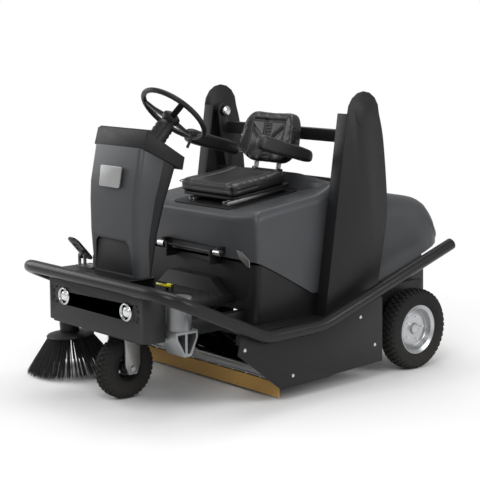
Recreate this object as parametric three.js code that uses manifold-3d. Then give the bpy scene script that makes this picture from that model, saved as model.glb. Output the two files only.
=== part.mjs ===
// Ride-on sweeper with a steered front wheel, a roller broom, a side brush and a high-dump rear hopper.
// Millimetres. X points to the machine's left, Y to its back and Z up; the floor is Z = 0 and the
// machine's centre plane is X = 0. The last lines shift the whole machine so that its origin is at the
// middle of its footprint.
import * as THREE from 'three';
import { mergeVertices } from 'three/addons/utils/BufferGeometryUtils.js';
import Module from 'manifold-3d';

const wasm = await Module();
wasm.setup();

// ------------------------------------------------------------------------------------------------
// Driving dimensions
// ------------------------------------------------------------------------------------------------
const GAP = 0.3; // between pieces that touch
const SHEET = 4; // pressed steel and moulded covers
const RUNNING = 2; // between pieces that slide past each other
const BAR_SIDES = 12; // flat sides of a pin, a shaft and their holes

const rearWheel = { axleY: 716, track: 1040, radius: 207.5, width: 108, rimRadius: 124, bore: 18 };
const frontWheel = { axleY: -740, radius: 151, width: 100, rimRadius: 64, bore: 12 };

const tube = {
  radius: 30, side: 589, frontY: -930, cornerReach: 150, bendReach: 60,
  rearY: 922, rearZ: 634, kneeY: 0, kneeZ: 340, lowY: -360, lowZ: 333, frontZ: 592,
};

const frontPanel = { half: 398, faceY: -903, backY: -800, bottom: 348, top: 555, corner: 35 };
const lamp = { x: 247, z: 475, ringRadius: 44, lensRadius: 27, depth: 60 };
const frontDeck = { top: 600, left: 185, right: -335, frontY: -894, backY: -690 };
const footDeck = { top: 480, thickness: 40, half: 280, backY: -291, riserTop: 550, riserHalf: 160 };

const frame = { railInner: 300, railOuter: 350, bottom: 340, top: 410, frontY: -898.7, backY: 428 };
const outrigger = { bottom: 300, top: 344, half: 498, width: 40, frontY: -310, backY: 405 };
const sill = { inner: 500, outer: 560, frontY: -470, backY: 428, lip: 11 };
const skirt = { outer: 569, thickness: 5, bottom: 65, rearBottom: 90, rearY: 440 };
const step = { inner: 450, narrow: 522, top: 362, thickness: 4, backY: 60 };

const head = { outer: 36, spindle: 22, bottom: 346, top: 440 };
const fork = { legX: 62, legThickness: 10, legHalf: 42, crownBottom: 318, crownThickness: 14 };

const consoleBody = { bottom: 600.3, top: 1215, corner: 28 };
const cap = { half: 194, frontTop: [-731, 1275], frontLow: [-754, 1196], backLow: [-530, 1085], backTop: [-517, 1144] };
const steering = { hubY: -428, hubZ: 1331, tilt: 43.4, rim: 170, grip: 13, hub: 42, column: 48, columnLength: 250 };

const tower = {
  outer: 533, plate: 5, flange: 68, bottom: 344.3, flangeTop: 1330,
  frontLowY: 68, topY: 315, topZ: 1325, topRadius: 110,
};
const lift = { pivotY: 300, pivotZ: 1296, pin: 22, boss: 44, armInner: 480, armOuter: 492 };
const crossbar = { y: 350, z: 1206, width: 50, height: 60 };

const hood = { half: 455, topHalf: 442, frontY: -300, backY: 220, thickness: 5, bottom: 655, sideLow: 465 };
const hoodHinge = { y: -338, z: 677, rod: 7, knuckle: 14, knuckleX: 214, knuckleLength: 34, rodHalf: 250 };
const wall = { half: 447, frontY: -288, bottom: 345, top: 640, corner: 30, thickness: 4 };
const rearCover = { half: 440, frontY: 222, frontZ: 1012, backY: 432, backZ: 935 };

const hopper = { half: 474, thickness: 5, frontY: 445, binHalf: 425, binFrontY: 432, wall: 4 };
const sidePlate = { inner: 438, outer: 450, top: 440, frontY: 224 };

const broom = { axisY: 60, axisZ: 147, radius: 145, core: 60, half: 420, shaft: 14, sides: 24 };
const broomArm = { pivotY: -170, pivotZ: 318, x: 430, thickness: 8 };
const sideBrush = {
  x: -560, y: -650, tilt: 4, radius: 240, discRadius: 120, discHeight: 172, discThickness: 18,
  clearance: 1, motorRadius: 50, motorHeight: 70, pivotX: -325, pivotZ: 320,
};
const flap = { y: -220, pivotZ: 128, half: 528, stripBottom: 14, stripTop: 84, stripThickness: 8 };

const seat = { frontY: -231, tilt: 7, half: 222, depth: 400, thickness: 58, baseHeight: 46 };
const backrest = { pivotY: 412, pivotZ: 44, bottom: 30, height: 272, half: 190, thickness: 70, lean: 22 };
const armrest = { x: 248, width: 52, length: 350, height: 88, pivotY: 5, pivotZ: 84, raise: 2, pin: 9 };

const pump = { x: 412, y: -735, radius: 60, bottom: 400, top: 548, bracketBottom: 282 };

// ------------------------------------------------------------------------------------------------
// Finishes: every mesh gets a material of its own from one of these
// ------------------------------------------------------------------------------------------------
const finish = (color, roughness, metalness) => () =>
  new THREE.MeshStandardMaterial({ color, roughness, metalness });
const greyShell = finish(0x4e4f51, 0.42, 0.1);
const blackPaint = finish(0x1d1d1e, 0.45, 0.2);
const blackPlastic = finish(0x222223, 0.6, 0);
const rubber = finish(0x1b1b1b, 0.85, 0);
const brightSteel = finish(0xc9cbcd, 0.25, 1);
const galvanised = finish(0x9a9c9b, 0.45, 0.9);
const castMetal = finish(0x7b7d7e, 0.5, 0.8);
const seatVinyl = finish(0x171717, 0.5, 0);
const bristle = finish(0x141414, 0.9, 0);
const tanRubber = finish(0xb08a4a, 0.7, 0);
const signalYellow = finish(0xd8d21c, 0.5, 0);

// ------------------------------------------------------------------------------------------------
// Shapes
// ------------------------------------------------------------------------------------------------
const radians = THREE.MathUtils.degToRad;

/** A closed outline from [u, v] pairs. */
function outline(points) {
  return new THREE.Shape(points.map(([u, v]) => new THREE.Vector2(u, v)));
}

/** A rectangle from (u0, v0) to (u1, v1) with round corners. */
function roundedRectangle(u0, v0, u1, v1, radius) {
  const shape = new THREE.Shape();
  shape.moveTo(u0 + radius, v0);
  shape.lineTo(u1 - radius, v0);
  shape.absarc(u1 - radius, v0 + radius, radius, -Math.PI / 2, 0);
  shape.lineTo(u1, v1 - radius);
  shape.absarc(u1 - radius, v1 - radius, radius, 0, Math.PI / 2);
  shape.lineTo(u0 + radius, v1);
  shape.absarc(u0 + radius, v1 - radius, radius, Math.PI / 2, Math.PI);
  shape.lineTo(u0, v0 + radius);
  shape.absarc(u0 + radius, v0 + radius, radius, Math.PI, 1.5 * Math.PI);
  return shape;
}

const toShape = (form) => (Array.isArray(form) ? outline(form) : form);

function extrude(form, depth, segments = 3) {
  return new THREE.ExtrudeGeometry(toShape(form), { depth, bevelEnabled: false, curveSegments: segments });
}

/** A slab from x0 to x1 whose outline is drawn in (y, z). */
function slabX(form, x0, x1, segments) {
  const slab = extrude(form, x1 - x0, segments);
  const axes = [new THREE.Vector3(0, 1, 0), new THREE.Vector3(0, 0, 1), new THREE.Vector3(1, 0, 0)];
  slab.applyMatrix4(new THREE.Matrix4().makeBasis(...axes));
  return slab.translate(x0, 0, 0);
}

/** A slab from y0 to y1 whose outline is drawn in (x, z). */
function slabY(form, y0, y1, segments) {
  const slab = extrude(form, y1 - y0, segments);
  slab.rotateX(Math.PI / 2);
  return slab.translate(0, y1, 0);
}

/** A slab from z0 to z1 whose outline is drawn in (x, y). */
function slabZ(form, z0, z1, segments) {
  return extrude(form, z1 - z0, segments).translate(0, 0, z0);
}

function block(x0, x1, y0, y1, z0, z1) {
  const box = new THREE.BoxGeometry(x1 - x0, y1 - y0, z1 - z0);
  return box.translate((x0 + x1) / 2, (y0 + y1) / 2, (z0 + z1) / 2);
}

/** A hole's radius, so that its flat sides clear a bar of this radius however it turns. */
const holeFor = (radius) => (radius + GAP) / Math.cos(Math.PI / BAR_SIDES);

/** A round bar along X through (y, z). */
function barX(radius, x0, x1, y, z, segments = BAR_SIDES) {
  const bar = new THREE.CylinderGeometry(radius, radius, x1 - x0, segments).rotateZ(Math.PI / 2);
  return bar.translate((x0 + x1) / 2, y, z);
}

/** A round bar along Y through (x, z). */
function barY(radius, y0, y1, x, z, segments = BAR_SIDES) {
  return new THREE.CylinderGeometry(radius, radius, y1 - y0, segments).translate(x, (y0 + y1) / 2, z);
}

/** A round bar along Z through (x, y), which may taper. */
function barZ(radius, z0, z1, x, y, segments = BAR_SIDES, topRadius = radius) {
  const bar = new THREE.CylinderGeometry(topRadius, radius, z1 - z0, segments).rotateX(Math.PI / 2);
  return bar.translate(x, y, (z0 + z1) / 2);
}

/** A body turned about Z from a profile of [radius, z] pairs, which closes on itself or on the axis. */
function turned(profile, segments = 24) {
  const points = profile.map(([radius, z]) => new THREE.Vector2(radius, z));
  return new THREE.LatheGeometry(points, segments).rotateX(Math.PI / 2);
}

/** A closed skin over rings of points, which all have the same number of points. */
function loft(rings, flat) {
  const size = rings[0].length;
  const positions = rings.flat().flatMap((point) => [point.x, point.y, point.z]);
  const index = [];
  for (let ring = 0; ring + 1 < rings.length; ring += 1) {
    for (let k = 0; k < size; k += 1) {
      const a = ring * size + k;
      const b = ring * size + ((k + 1) % size);
      index.push(a, b, b + size, a, b + size, a + size);
    }
  }
  const lid = THREE.ShapeUtils.triangulateShape(rings[0].map(flat), []);
  const last = (rings.length - 1) * size;
  const order = THREE.ShapeUtils.isClockWise(rings[0].map(flat)) ? 1 : -1;
  for (const [a, b, c] of lid) {
    if (order > 0) index.push(a, b, c, last + a, last + c, last + b);
    else index.push(a, c, b, last + a, last + b, last + c);
  }
  const geometry = new THREE.BufferGeometry();
  geometry.setAttribute('position', new THREE.Float32BufferAttribute(positions, 3));
  geometry.setIndex(index);
  return facingOut(geometry);
}

/** The volume inside a closed mesh, negative when its faces point inwards. */
function signedVolume(geometry) {
  const at = geometry.getAttribute('position');
  const { array } = geometry.index;
  const corner = [new THREE.Vector3(), new THREE.Vector3(), new THREE.Vector3()];
  let volume = 0;
  for (let k = 0; k < array.length; k += 3) {
    corner.forEach((point, side) => point.fromBufferAttribute(at, array[k + side]));
    volume += corner[0].dot(corner[1].clone().cross(corner[2])) / 6;
  }
  return volume;
}

function facingOut(geometry) {
  if (signedVolume(geometry) < 0) {
    geometry.setIndex(Array.from(geometry.index.array).reverse());
  }
  return geometry;
}

function toSolid(geometry) {
  const bare = geometry.clone();
  bare.deleteAttribute('normal');
  bare.deleteAttribute('uv');
  const merged = mergeVertices(bare, 1e-3);
  return new wasm.Manifold(new wasm.Mesh({
    numProp: 3,
    vertProperties: new Float32Array(merged.getAttribute('position').array),
    triVerts: new Uint32Array(merged.index.array),
  }));
}

function toGeometry(solid) {
  const mesh = solid.getMesh();
  const geometry = new THREE.BufferGeometry();
  geometry.setAttribute('position', new THREE.BufferAttribute(new Float32Array(mesh.vertProperties), 3));
  geometry.setIndex(Array.from(mesh.triVerts));
  geometry.computeVertexNormals();
  return geometry;
}

function join(...pieces) {
  return toGeometry(pieces.map(toSolid).reduce((whole, piece) => whole.add(piece)));
}

function cut(piece, ...tools) {
  return toGeometry(tools.map(toSolid).reduce((whole, tool) => whole.subtract(tool), toSolid(piece)));
}

/** The same piece on the other side of the centre plane. */
function mirrored(geometry) {
  const copy = geometry.index ? geometry.clone() : mergeVertices(geometry.clone());
  copy.scale(-1, 1, 1);
  copy.setIndex(Array.from(copy.index.array).reverse());
  return copy;
}

/** The value at `key` on a line through [key, value] pairs, which are in rising order. */
function along(pairs, key) {
  let k = 0;
  while (k < pairs.length - 2 && key > pairs[k + 1][0]) k += 1;
  const [[k0, v0], [k1, v1]] = [pairs[k], pairs[k + 1]];
  return v0 + ((v1 - v0) * (key - k0)) / (k1 - k0);
}

// ------------------------------------------------------------------------------------------------
// Scene graph
// ------------------------------------------------------------------------------------------------
const machine = new THREE.Group();

function group(parent, x, y, z) {
  const child = new THREE.Group();
  child.position.set(x, y, z);
  parent.add(child);
  return child;
}

function put(parent, name, geometry, material) {
  const mesh = new THREE.Mesh(geometry, material());
  mesh.name = name;
  parent.add(mesh);
  return mesh;
}

/** Builds a piece for the left side and its twin for the right. */
function putPair(parent, name, geometry, material) {
  put(parent, `${name}_left`, geometry, material);
  put(parent, `${name}_right`, mirrored(geometry), material);
}

// ------------------------------------------------------------------------------------------------
// Chassis
// ------------------------------------------------------------------------------------------------
function chassisFrame() {
  const { railInner, railOuter, bottom, top, frontY, backY } = frame;
  const rail = block(railInner, railOuter, frontY, backY, bottom, top);
  const beam = (y, low, high, half) => block(-half, half, y - outrigger.width / 2, y + outrigger.width / 2, low, high);
  const headPlate = block(-railOuter, railOuter, frontWheel.axleY - 50, frontWheel.axleY + 50, head.bottom, head.bottom + 14);
  const headTube = barZ(head.outer, head.bottom, head.top, 0, frontWheel.axleY);
  const tubeMount = (x) => block(x - 25, x + 25, tube.frontY + tube.radius + GAP, frontY + 4, tube.frontZ - 12, tube.frontZ - 4);
  const mountPost = (x) => block(x - 25, x + 25, frontY, frontY + 8, top - 1, tube.frontZ - 4);
  const spindleHole = barZ(holeFor(head.spindle), head.bottom - 20, head.top + 20, 0, frontWheel.axleY);
  return cut(
    join(
      rail, mirrored(rail), headPlate, headTube,
      beam(frontY + outrigger.width / 2, bottom, top, railOuter),
      beam(outrigger.frontY, outrigger.bottom, outrigger.top, outrigger.half),
      beam(outrigger.backY, outrigger.bottom, outrigger.top, outrigger.half),
      beam(-480, bottom, top, railOuter),
      tubeMount(325), tubeMount(-325), mountPost(325), mountPost(-325),
      sideSill(), mirrored(sideSill()), sideStep(), mirrored(sideStep()),
      rearSidePlate(), mirrored(rearSidePlate()), engineTray(), sideBrushHanger(),
      broomHanger(), mirrored(broomHanger()), flapBearing(), mirrored(flapBearing()),
    ),
    spindleHole,
  );
}

/** One straight box beam along each side: its lip carries the skirt, its top the step and the tower. */
function sideSill() {
  const { inner, outer, frontY, backY, lip } = sill;
  return join(
    block(inner - 3, outer - RUNNING, frontY, backY, outrigger.bottom, outrigger.top),
    block(inner, skirt.outer - skirt.thickness - GAP, frontY, backY, outrigger.bottom, outrigger.bottom + lip),
  );
}

/** Bumper tube: one bent tube that starts behind one rear wheel, runs round the front and ends behind the other. */
function bumperTube() {
  const corners = [
    [tube.side, tube.rearY, tube.rearZ], [tube.side, tube.kneeY, tube.kneeZ],
    [tube.side, tube.lowY, tube.lowZ], [tube.side, tube.frontY, tube.frontZ],
  ].map((point) => new THREE.Vector3(...point));
  const reach = [0, tube.bendReach, tube.bendReach, tube.cornerReach];
  const other = corners.map((point) => new THREE.Vector3(-point.x, point.y, point.z)).reverse();
  const points = [...corners, ...other];
  const reaches = [...reach, ...reach.slice().reverse()];
  const path = new THREE.CurvePath();
  let from = points[0];
  for (let k = 1; k + 1 < points.length; k += 1) {
    const before = points[k].clone().lerp(points[k - 1], reaches[k] / points[k].distanceTo(points[k - 1]));
    const after = points[k].clone().lerp(points[k + 1], reaches[k] / points[k].distanceTo(points[k + 1]));
    path.add(new THREE.LineCurve3(from, before));
    path.add(new THREE.QuadraticBezierCurve3(before, points[k], after));
    from = after;
  }
  path.add(new THREE.LineCurve3(from, points[points.length - 1]));
  const section = new THREE.Shape().absarc(0, 0, tube.radius, 0, 2 * Math.PI);
  return new THREE.ExtrudeGeometry(section, { steps: 44, extrudePath: path, curveSegments: 5 });
}

/** The height of the bumper tube's centre line above a point of its straight side runs. */
function tubeHeight(y) {
  return along([
    [tube.frontY, tube.frontZ], [tube.lowY, tube.lowZ], [tube.kneeY, tube.kneeZ], [tube.rearY, tube.rearZ],
  ], y);
}

function frontPanelShell() {
  const { half, faceY, backY, bottom, top, corner } = frontPanel;
  const outer = slabZ(roundedRectangle(-half, faceY, half, backY + 2 * corner, corner), bottom, top);
  const inner = slabZ(
    roundedRectangle(-half + SHEET, faceY + SHEET, half - SHEET, backY + 3 * corner, corner - SHEET),
    bottom - 10, top + 10,
  );
  const rear = block(-half - 10, half + 10, backY, backY + 4 * corner, bottom - 10, top + 10);
  const holes = [-1, 1].flatMap((side) => [
    barY(lamp.ringRadius - 4, faceY - 10, faceY + 20, side * lamp.x, lamp.z),
    block(
      ...(side > 0 ? [lamp.x + 52, half - corner - 4] : [-(half - corner - 4), -lamp.x - 52]),
      faceY - 10, faceY + 2, lamp.z - 38, lamp.z + 38,
    ),
    barY(9, faceY - 10, faceY + 20, side * (lamp.x + 88), lamp.z + 16, 14),
    barY(9, faceY - 10, faceY + 20, side * (lamp.x + 88), lamp.z - 16, 14),
  ]);
  return cut(outer, inner, rear, ...holes);
}

/** A headlight is turned about its own axis, which points forwards: a chromed bucket and a domed lens. */
function headlight(side) {
  const place = group(machine, side * lamp.x, frontPanel.faceY, lamp.z);
  place.rotation.x = Math.PI / 2;
  const name = side > 0 ? 'left' : 'right';
  const { ringRadius, lensRadius, depth } = lamp;
  const throat = ringRadius - 7;
  put(place, `headlight_${name}`, turned([
    [0, -depth], [lensRadius, -depth], [throat, -SHEET - 2], [throat, GAP], [ringRadius, GAP], [ringRadius, 4],
    [ringRadius - 5, 10], [lensRadius + 6, 8], [lensRadius + 4, -4], [lensRadius, -6], [lensRadius, 0],
    [lensRadius * 0.75, 8], [lensRadius * 0.4, 12], [0, 13],
  ], 16), brightSteel);
}

function frontDeckSheet() {
  const { top, left, right, frontY, backY } = frontDeck;
  return slabX([
    [frontY, top - SHEET], [backY - SHEET, top - SHEET], [backY - SHEET, footDeck.top - 1],
    [backY, footDeck.top - 1], [backY, top], [frontY, top],
  ], right, left);
}

/** Foot deck: a thick tread plate with a toothed lower edge and a raised box at its back. */
function footDeckPlate() {
  const { top, thickness, half, backY, riserTop, riserHalf } = footDeck;
  const frontY = frontDeck.backY - SHEET - 8;
  const deck = block(-half, half, frontY, backY, top - thickness, top);
  const riser = slabY([
    [-half + 30, top - 1], [half - 30, top - 1], [riserHalf, riserTop], [-riserHalf, riserTop],
  ], backY - 50, backY);
  const teeth = [];
  const pitch = 34;
  for (let y = frontY + pitch / 2; y < backY - pitch / 2; y += pitch) {
    teeth.push(slabX([
      [y - pitch / 2 + 2, top - thickness - 1], [y + pitch / 2 - 2, top - thickness - 1], [y, top - thickness + 9],
    ], -half - 10, half + 10));
  }
  return cut(join(deck, riser), ...teeth);
}

/** Lower body wall: a U-shaped sheet round the engine bay, under the hood's edge. */
function bodyWall() {
  const { half, frontY, bottom, top, corner, thickness } = wall;
  const backY = hood.backY;
  const outer = slabZ(roundedRectangle(-half, frontY, half, backY + 2 * corner, corner), bottom, top);
  const inner = slabZ(roundedRectangle(
    -half + thickness, frontY + thickness, half - thickness, backY + 3 * corner, corner - thickness,
  ), bottom - 10, top + 10);
  const rear = block(-half - 10, half + 10, backY, backY + 4 * corner, bottom - 10, top + 10);
  const notchHalf = frame.railOuter + RUNNING;
  const railNotch = block(-notchHalf, notchHalf, frontY - 10, frontY + 40, bottom - 10, frame.top + GAP);
  return cut(outer, inner, rear, railNotch);
}

/** The skirt closes the broom chamber on one side; its upper edge follows the bumper tube. */
function skirtPlate() {
  const { outer, thickness, bottom, rearBottom, rearY } = skirt;
  const under = tube.radius + RUNNING;
  return slabX([
    [-252, bottom], [81, bottom + 6], [86, bottom + 13], [rearY, rearBottom], [rearY - 8, 412],
    [rearY - 40, tubeHeight(rearY - 40) - under], [tube.kneeY, tube.kneeZ - under], [tube.lowY, tube.lowZ - under],
    [-500, tubeHeight(-500) - under], [-519, 270],
  ], outer - thickness, outer);
}

/** Step between the body wall and the bumper tube, with a narrow lip that runs up along the tube. */
function sideStep() {
  const { inner, narrow, top, thickness, backY } = step;
  const outerX = tube.side - tube.radius - RUNNING;
  const flat = block(inner, outerX, tube.lowY + 20, backY, top - thickness, top);
  const rise = tubeHeight(-720) + 12 - top;
  const lip = slabX([
    [-720, top + rise], [-720, top + rise - thickness], [tube.lowY - 20, top - thickness],
    [tube.lowY + 30, top - thickness], [tube.lowY + 30, top], [tube.lowY - 20, top],
  ], narrow, outerX);
  const foot = block(narrow, outerX, tube.lowY + 40, backY - 40, outrigger.top - 1, top - thickness + 1);
  return join(flat, lip, foot);
}

/** Rear side plate: carries one rear wheel on a stub axle. */
function rearSidePlate() {
  const { inner, outer, top, frontY } = sidePlate;
  const { axleY, radius, track, width, bore } = rearWheel;
  const plate = slabX([
    [frontY, wall.bottom], [560, wall.bottom], [axleY - 60, radius - 55], [axleY + 60, radius - 55],
    [axleY + 140, 330], [axleY + 140, top], [frontY, top],
  ], inner, outer);
  const boss = barX(bore + 14, outer - 1, track / 2 - width / 2 + 30, axleY, radius, 24);
  const axle = barX(bore, outer - 1, track / 2 + 14, axleY, radius, 24);
  const hangerY = hood.backY + 10;
  const hanger = block(frame.railOuter - 1, inner + 1, hangerY, hangerY + 60, wall.bottom, frame.top);
  return join(plate, boss, axle, hanger);
}

/** The tower's front edge leans back as it rises and ends where the round top begins. */
function towerFrontY(z) {
  const { bottom, frontLowY, topY, topZ, topRadius } = tower;
  return frontLowY + ((topY - topRadius - frontLowY) * (z - bottom)) / (topZ - bottom);
}

function towerShell() {
  const { outer, plate, flange, bottom, flangeTop, topY, topZ, topRadius } = tower;
  const face = new THREE.Shape();
  face.moveTo(towerFrontY(bottom), bottom);
  face.lineTo(398, bottom);
  face.splineThru([[435, 473], [464, 615], [495, 809], [491, 940], [459, 1197], [topY + topRadius, topZ]]
    .map(([y, z]) => new THREE.Vector2(y, z)));
  face.absarc(topY, topZ, topRadius, 0, Math.PI);
  const skin = slabX(face, outer - plate, outer, 4);
  const frontFlange = slabX([
    [towerFrontY(bottom), bottom], [towerFrontY(bottom) + plate, bottom],
    [towerFrontY(flangeTop) + plate, flangeTop], [towerFrontY(flangeTop), flangeTop],
  ], outer - flange, outer - 1);
  const emboss = barX(topRadius * 0.52, outer - 1, outer + 1.5, topY + 8, topZ - 6, 24);
  return join(skin, frontFlange, emboss, liftPin());
}

function liftPin() {
  const inner = tower.outer - tower.plate;
  return join(
    barX(lift.pin, lift.armInner - 12, inner + 1, lift.pivotY, lift.pivotZ),
    barX(lift.boss - 8, lift.armOuter + RUNNING, inner + 1, lift.pivotY, lift.pivotZ),
  );
}

function rearCoverSheet() {
  const { half, frontY, frontZ, backY, backZ } = rearCover;
  return slabX([
    [frontY, frontZ - 60], [frontY + SHEET, frontZ - 60], [frontY + SHEET, frontZ - SHEET],
    [backY - SHEET, backZ - SHEET], [backY - SHEET, sidePlate.top + GAP], [backY, sidePlate.top + GAP],
    [backY, backZ], [frontY + 6, frontZ], [frontY, frontZ - 6],
  ], -half, half);
}

// ------------------------------------------------------------------------------------------------
// Console, dash and steering
// ------------------------------------------------------------------------------------------------
const consoleFront = [[604, -788], [796, -802], [941, -801], [1027, -793], [1100, -779], [1215, -757]];
const consoleBack = [[604, -697], [660, -697], [769, -668], [949, -617], [1073, -571], [1215, -512]];
const consoleHalf = [[604, 178], [796, 181], [941, 185], [1027, 190], [1215, 187]];
const consoleSplit = [[604, -716], [760, -722], [968, -685], [1120, -640], [1215, -612]];

/** One level of the console, `inset` inside its outer face. */
function consoleRing(z, inset) {
  const half = along(consoleHalf, z) - inset;
  const front = along(consoleFront, z) + inset;
  const back = along(consoleBack, z) - inset;
  const shape = roundedRectangle(-half, front, half, back, consoleBody.corner - inset);
  return shape.getPoints(3).slice(0, -1).map((point) => new THREE.Vector3(point.x, point.y, z));
}

function consoleVolume(inset, reach) {
  const levels = [consoleBody.bottom, 796, 870, 941, 1027, 1100, consoleBody.top];
  const rings = levels.map((z) => consoleRing(z, inset));
  rings[0].forEach((point) => { point.z -= reach; });
  rings[rings.length - 1].forEach((point) => { point.z += reach; });
  return loft(rings, (point) => new THREE.Vector2(point.x, point.y));
}

/** Everything above the underside of the dash cap, less a gap. */
function aboveCapUnderside() {
  const { frontLow, backLow, half } = cap;
  const slope = (backLow[1] - frontLow[1]) / (backLow[0] - frontLow[0]);
  const at = (y) => frontLow[1] + slope * (y - frontLow[0]) - GAP;
  return slabX([[-900, at(-900)], [-400, at(-400)], [-400, 1500], [-900, 1500]], -half - 50, half + 50);
}

function consoleSide(behind) {
  const edge = behind ? -900 : -400;
  const shift = behind ? -GAP / 2 : GAP / 2;
  const line = consoleSplit.map(([z, y]) => [y - shift, z]);
  const low = [edge, consoleBody.bottom - 50];
  const high = [edge, 1400];
  return slabX([
    low, [line[0][0], consoleBody.bottom - 50], ...line, [line[line.length - 1][0], 1400], high,
  ], -300, 300);
}

const accessPanel = { bottom: 612, top: 768, topHalf: 128, bottomHalf: 146 };

function accessOutline(grow) {
  const { bottom, top, topHalf, bottomHalf } = accessPanel;
  return [
    [-bottomHalf - grow, bottom - grow], [bottomHalf + grow, bottom - grow],
    [topHalf + grow, top - 20], [topHalf - 20, top + grow], [-topHalf + 20, top + grow], [-topHalf - grow, top - 20],
  ];
}

function consoleShells() {
  const shell = cut(consoleVolume(0, 0), consoleVolume(SHEET, 16), aboveCapUnderside());
  const opening = slabY(accessOutline(GAP), -900, -740);
  put(machine, 'console_front_shell', cut(shell, consoleSide(false), opening), greyShell);
  put(machine, 'console_back_shell', cut(shell, consoleSide(true)), blackPlastic);
  const faceY = along(consoleFront, accessPanel.bottom) + SHEET - 1;
  put(machine, 'console_access_panel', slabY(accessOutline(0), faceY - SHEET + 1, faceY), blackPlastic);
}

/** The dash's top runs down towards the driver at this angle. */
const capSlope = Math.atan2(cap.frontTop[1] - cap.backTop[1], cap.backTop[0] - cap.frontTop[0]);

const horn = { x: 125, along: -45, radius: 14, foot: 5, pocket: 9, proud: 6 };

/** Moves a piece drawn about Z onto the dash, `v` up or down its slope. */
function onCap(geometry, x, v) {
  const midY = (cap.frontTop[0] + cap.backTop[0]) / 2;
  const midZ = (cap.frontTop[1] + cap.backTop[1]) / 2;
  return geometry.translate(x, v, 0).rotateX(-capSlope).translate(0, midY, midZ);
}

function dashCap() {
  const { half, frontTop, frontLow, backLow, backTop } = cap;
  const body = slabX([frontLow, backLow, backTop, frontTop], -half, half);
  const cowl = slabX([
    frontTop, [frontTop[0] + 34, frontTop[1] - 34 * Math.tan(capSlope)], [frontTop[0] + 26, frontTop[1] + 4],
    [frontTop[0] + 6, frontTop[1] + 6],
  ], -half + 12, half - 12);
  return cut(join(body, cowl), onCap(barZ(holeFor(horn.radius), -horn.pocket, 20, 0, 0), horn.x, horn.along));
}

/** Steering parts are drawn about the steering axis, with Z up the axis towards the driver's hands. */
function steeringGroup(parent) {
  const place = group(parent, 0, steering.hubY, steering.hubZ);
  place.rotation.x = -radians(steering.tilt);
  return place;
}

function steeringColumn() {
  const { hub, column, columnLength, tilt, hubY, hubZ } = steering;
  const boot = turned([
    [0, -columnLength], [column, -columnLength], [column, -110], [column - 8, -96], [column - 2, -84],
    [hub - 6, -66], [hub - 8, -52], [0, -52],
  ], 16);
  boot.rotateX(-radians(tilt)).translate(0, hubY, hubZ);
  const { half, frontTop, frontLow, backLow, backTop } = cap;
  const slope = Math.tan(capSlope);
  const at = (y) => frontTop[1] - slope * (y - frontTop[0]) + GAP;
  const below = slabX([[-900, 700], [-300, 700], [-300, at(-300)], [-900, at(-900)]], -half, half);
  return cut(boot, below);
}

function steeringWheel() {
  const { rim, grip, hub } = steering;
  const ring = new THREE.TorusGeometry(rim, grip, 6, 30);
  const dish = -26;
  const boss = turned([[0, dish - 24], [hub - 10, dish - 24], [hub, dish - 8], [hub, dish + 8], [hub - 12, dish + 18],
    [0, dish + 20]], 16);
  const spokes = [90, 210, 330].map((angle) => {
    const spoke = slabY([[hub - 12, dish - 9], [rim, -6], [rim, 6], [hub - 12, dish + 9]], -17, 17);
    return spoke.rotateZ(radians(angle));
  });
  return join(ring, boss, ...spokes);
}

function controls() {
  const place = group(machine, 0, (cap.frontTop[0] + cap.backTop[0]) / 2, (cap.frontTop[1] + cap.backTop[1]) / 2);
  place.rotation.x = -capSlope;
  const key = group(place, -135, 20, GAP);
  const keyBow = slabY(roundedRectangle(-12, 8, 12, 34, 6), -2, 2);
  put(key, 'ignition_key', join(barZ(8, 0, 9, 0, 0), keyBow), blackPlastic);
  const knob = group(place, 125, 25, GAP);
  const pointer = block(-2, 2, 4, 13, 12, 20);
  put(knob, 'program_knob', join(barZ(19, 0, 5, 0, 0), barZ(14, 4, 18, 0, 0, BAR_SIDES, 12), pointer), blackPlastic);
  const button = group(place, horn.x, horn.along, 0);
  put(button, 'horn_button', barZ(horn.radius, -horn.foot, horn.proud, 0, 0), signalYellow);
}

// ------------------------------------------------------------------------------------------------
// Wheels, fork and pedals
// ------------------------------------------------------------------------------------------------
function tyre(radius, width, rimRadius) {
  const half = width / 2;
  const bulge = rimRadius + (radius - rimRadius) * 0.45;
  return turned([
    [rimRadius + GAP, -half * 0.72], [bulge, -half], [radius - 22, -half * 0.97], [radius - 5, -half * 0.78],
    [radius, -half * 0.4], [radius, half * 0.4], [radius - 5, half * 0.78], [radius - 22, half * 0.97],
    [bulge, half], [rimRadius + GAP, half * 0.72], [rimRadius + GAP, -half * 0.72],
  ], 20).rotateX(Math.PI / 2).rotateZ(Math.PI / 2);
}

/** A dished rim with a hub bored for its axle. The dish faces +X. */
function rim(rimRadius, width, bore) {
  const half = width * 0.36;
  const hubRadius = bore + 16;
  return turned([
    [bore + GAP, -half * 0.6], [hubRadius, -half * 0.6], [hubRadius, -2], [rimRadius * 0.84, -8],
    [rimRadius * 0.84, -half], [rimRadius, -half], [rimRadius, half], [rimRadius * 0.88, half],
    [rimRadius * 0.84, 2], [hubRadius, 8], [hubRadius, half * 0.7], [bore + GAP, half * 0.7],
    [bore + GAP, -half * 0.6],
  ], 20).rotateY(Math.PI / 2);
}

function rearWheels() {
  for (const [name, side] of [['left', 1], ['right', -1]]) {
    const { axleY, radius, track, width, rimRadius, bore } = rearWheel;
    const place = group(machine, side * track / 2, axleY, radius);
    put(place, `rear_tyre_${name}`, tyre(radius, width, rimRadius), rubber);
    const disc = rim(rimRadius, width, bore);
    put(place, `rear_rim_${name}`, side > 0 ? disc : mirrored(disc), brightSteel);
  }
}

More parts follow.
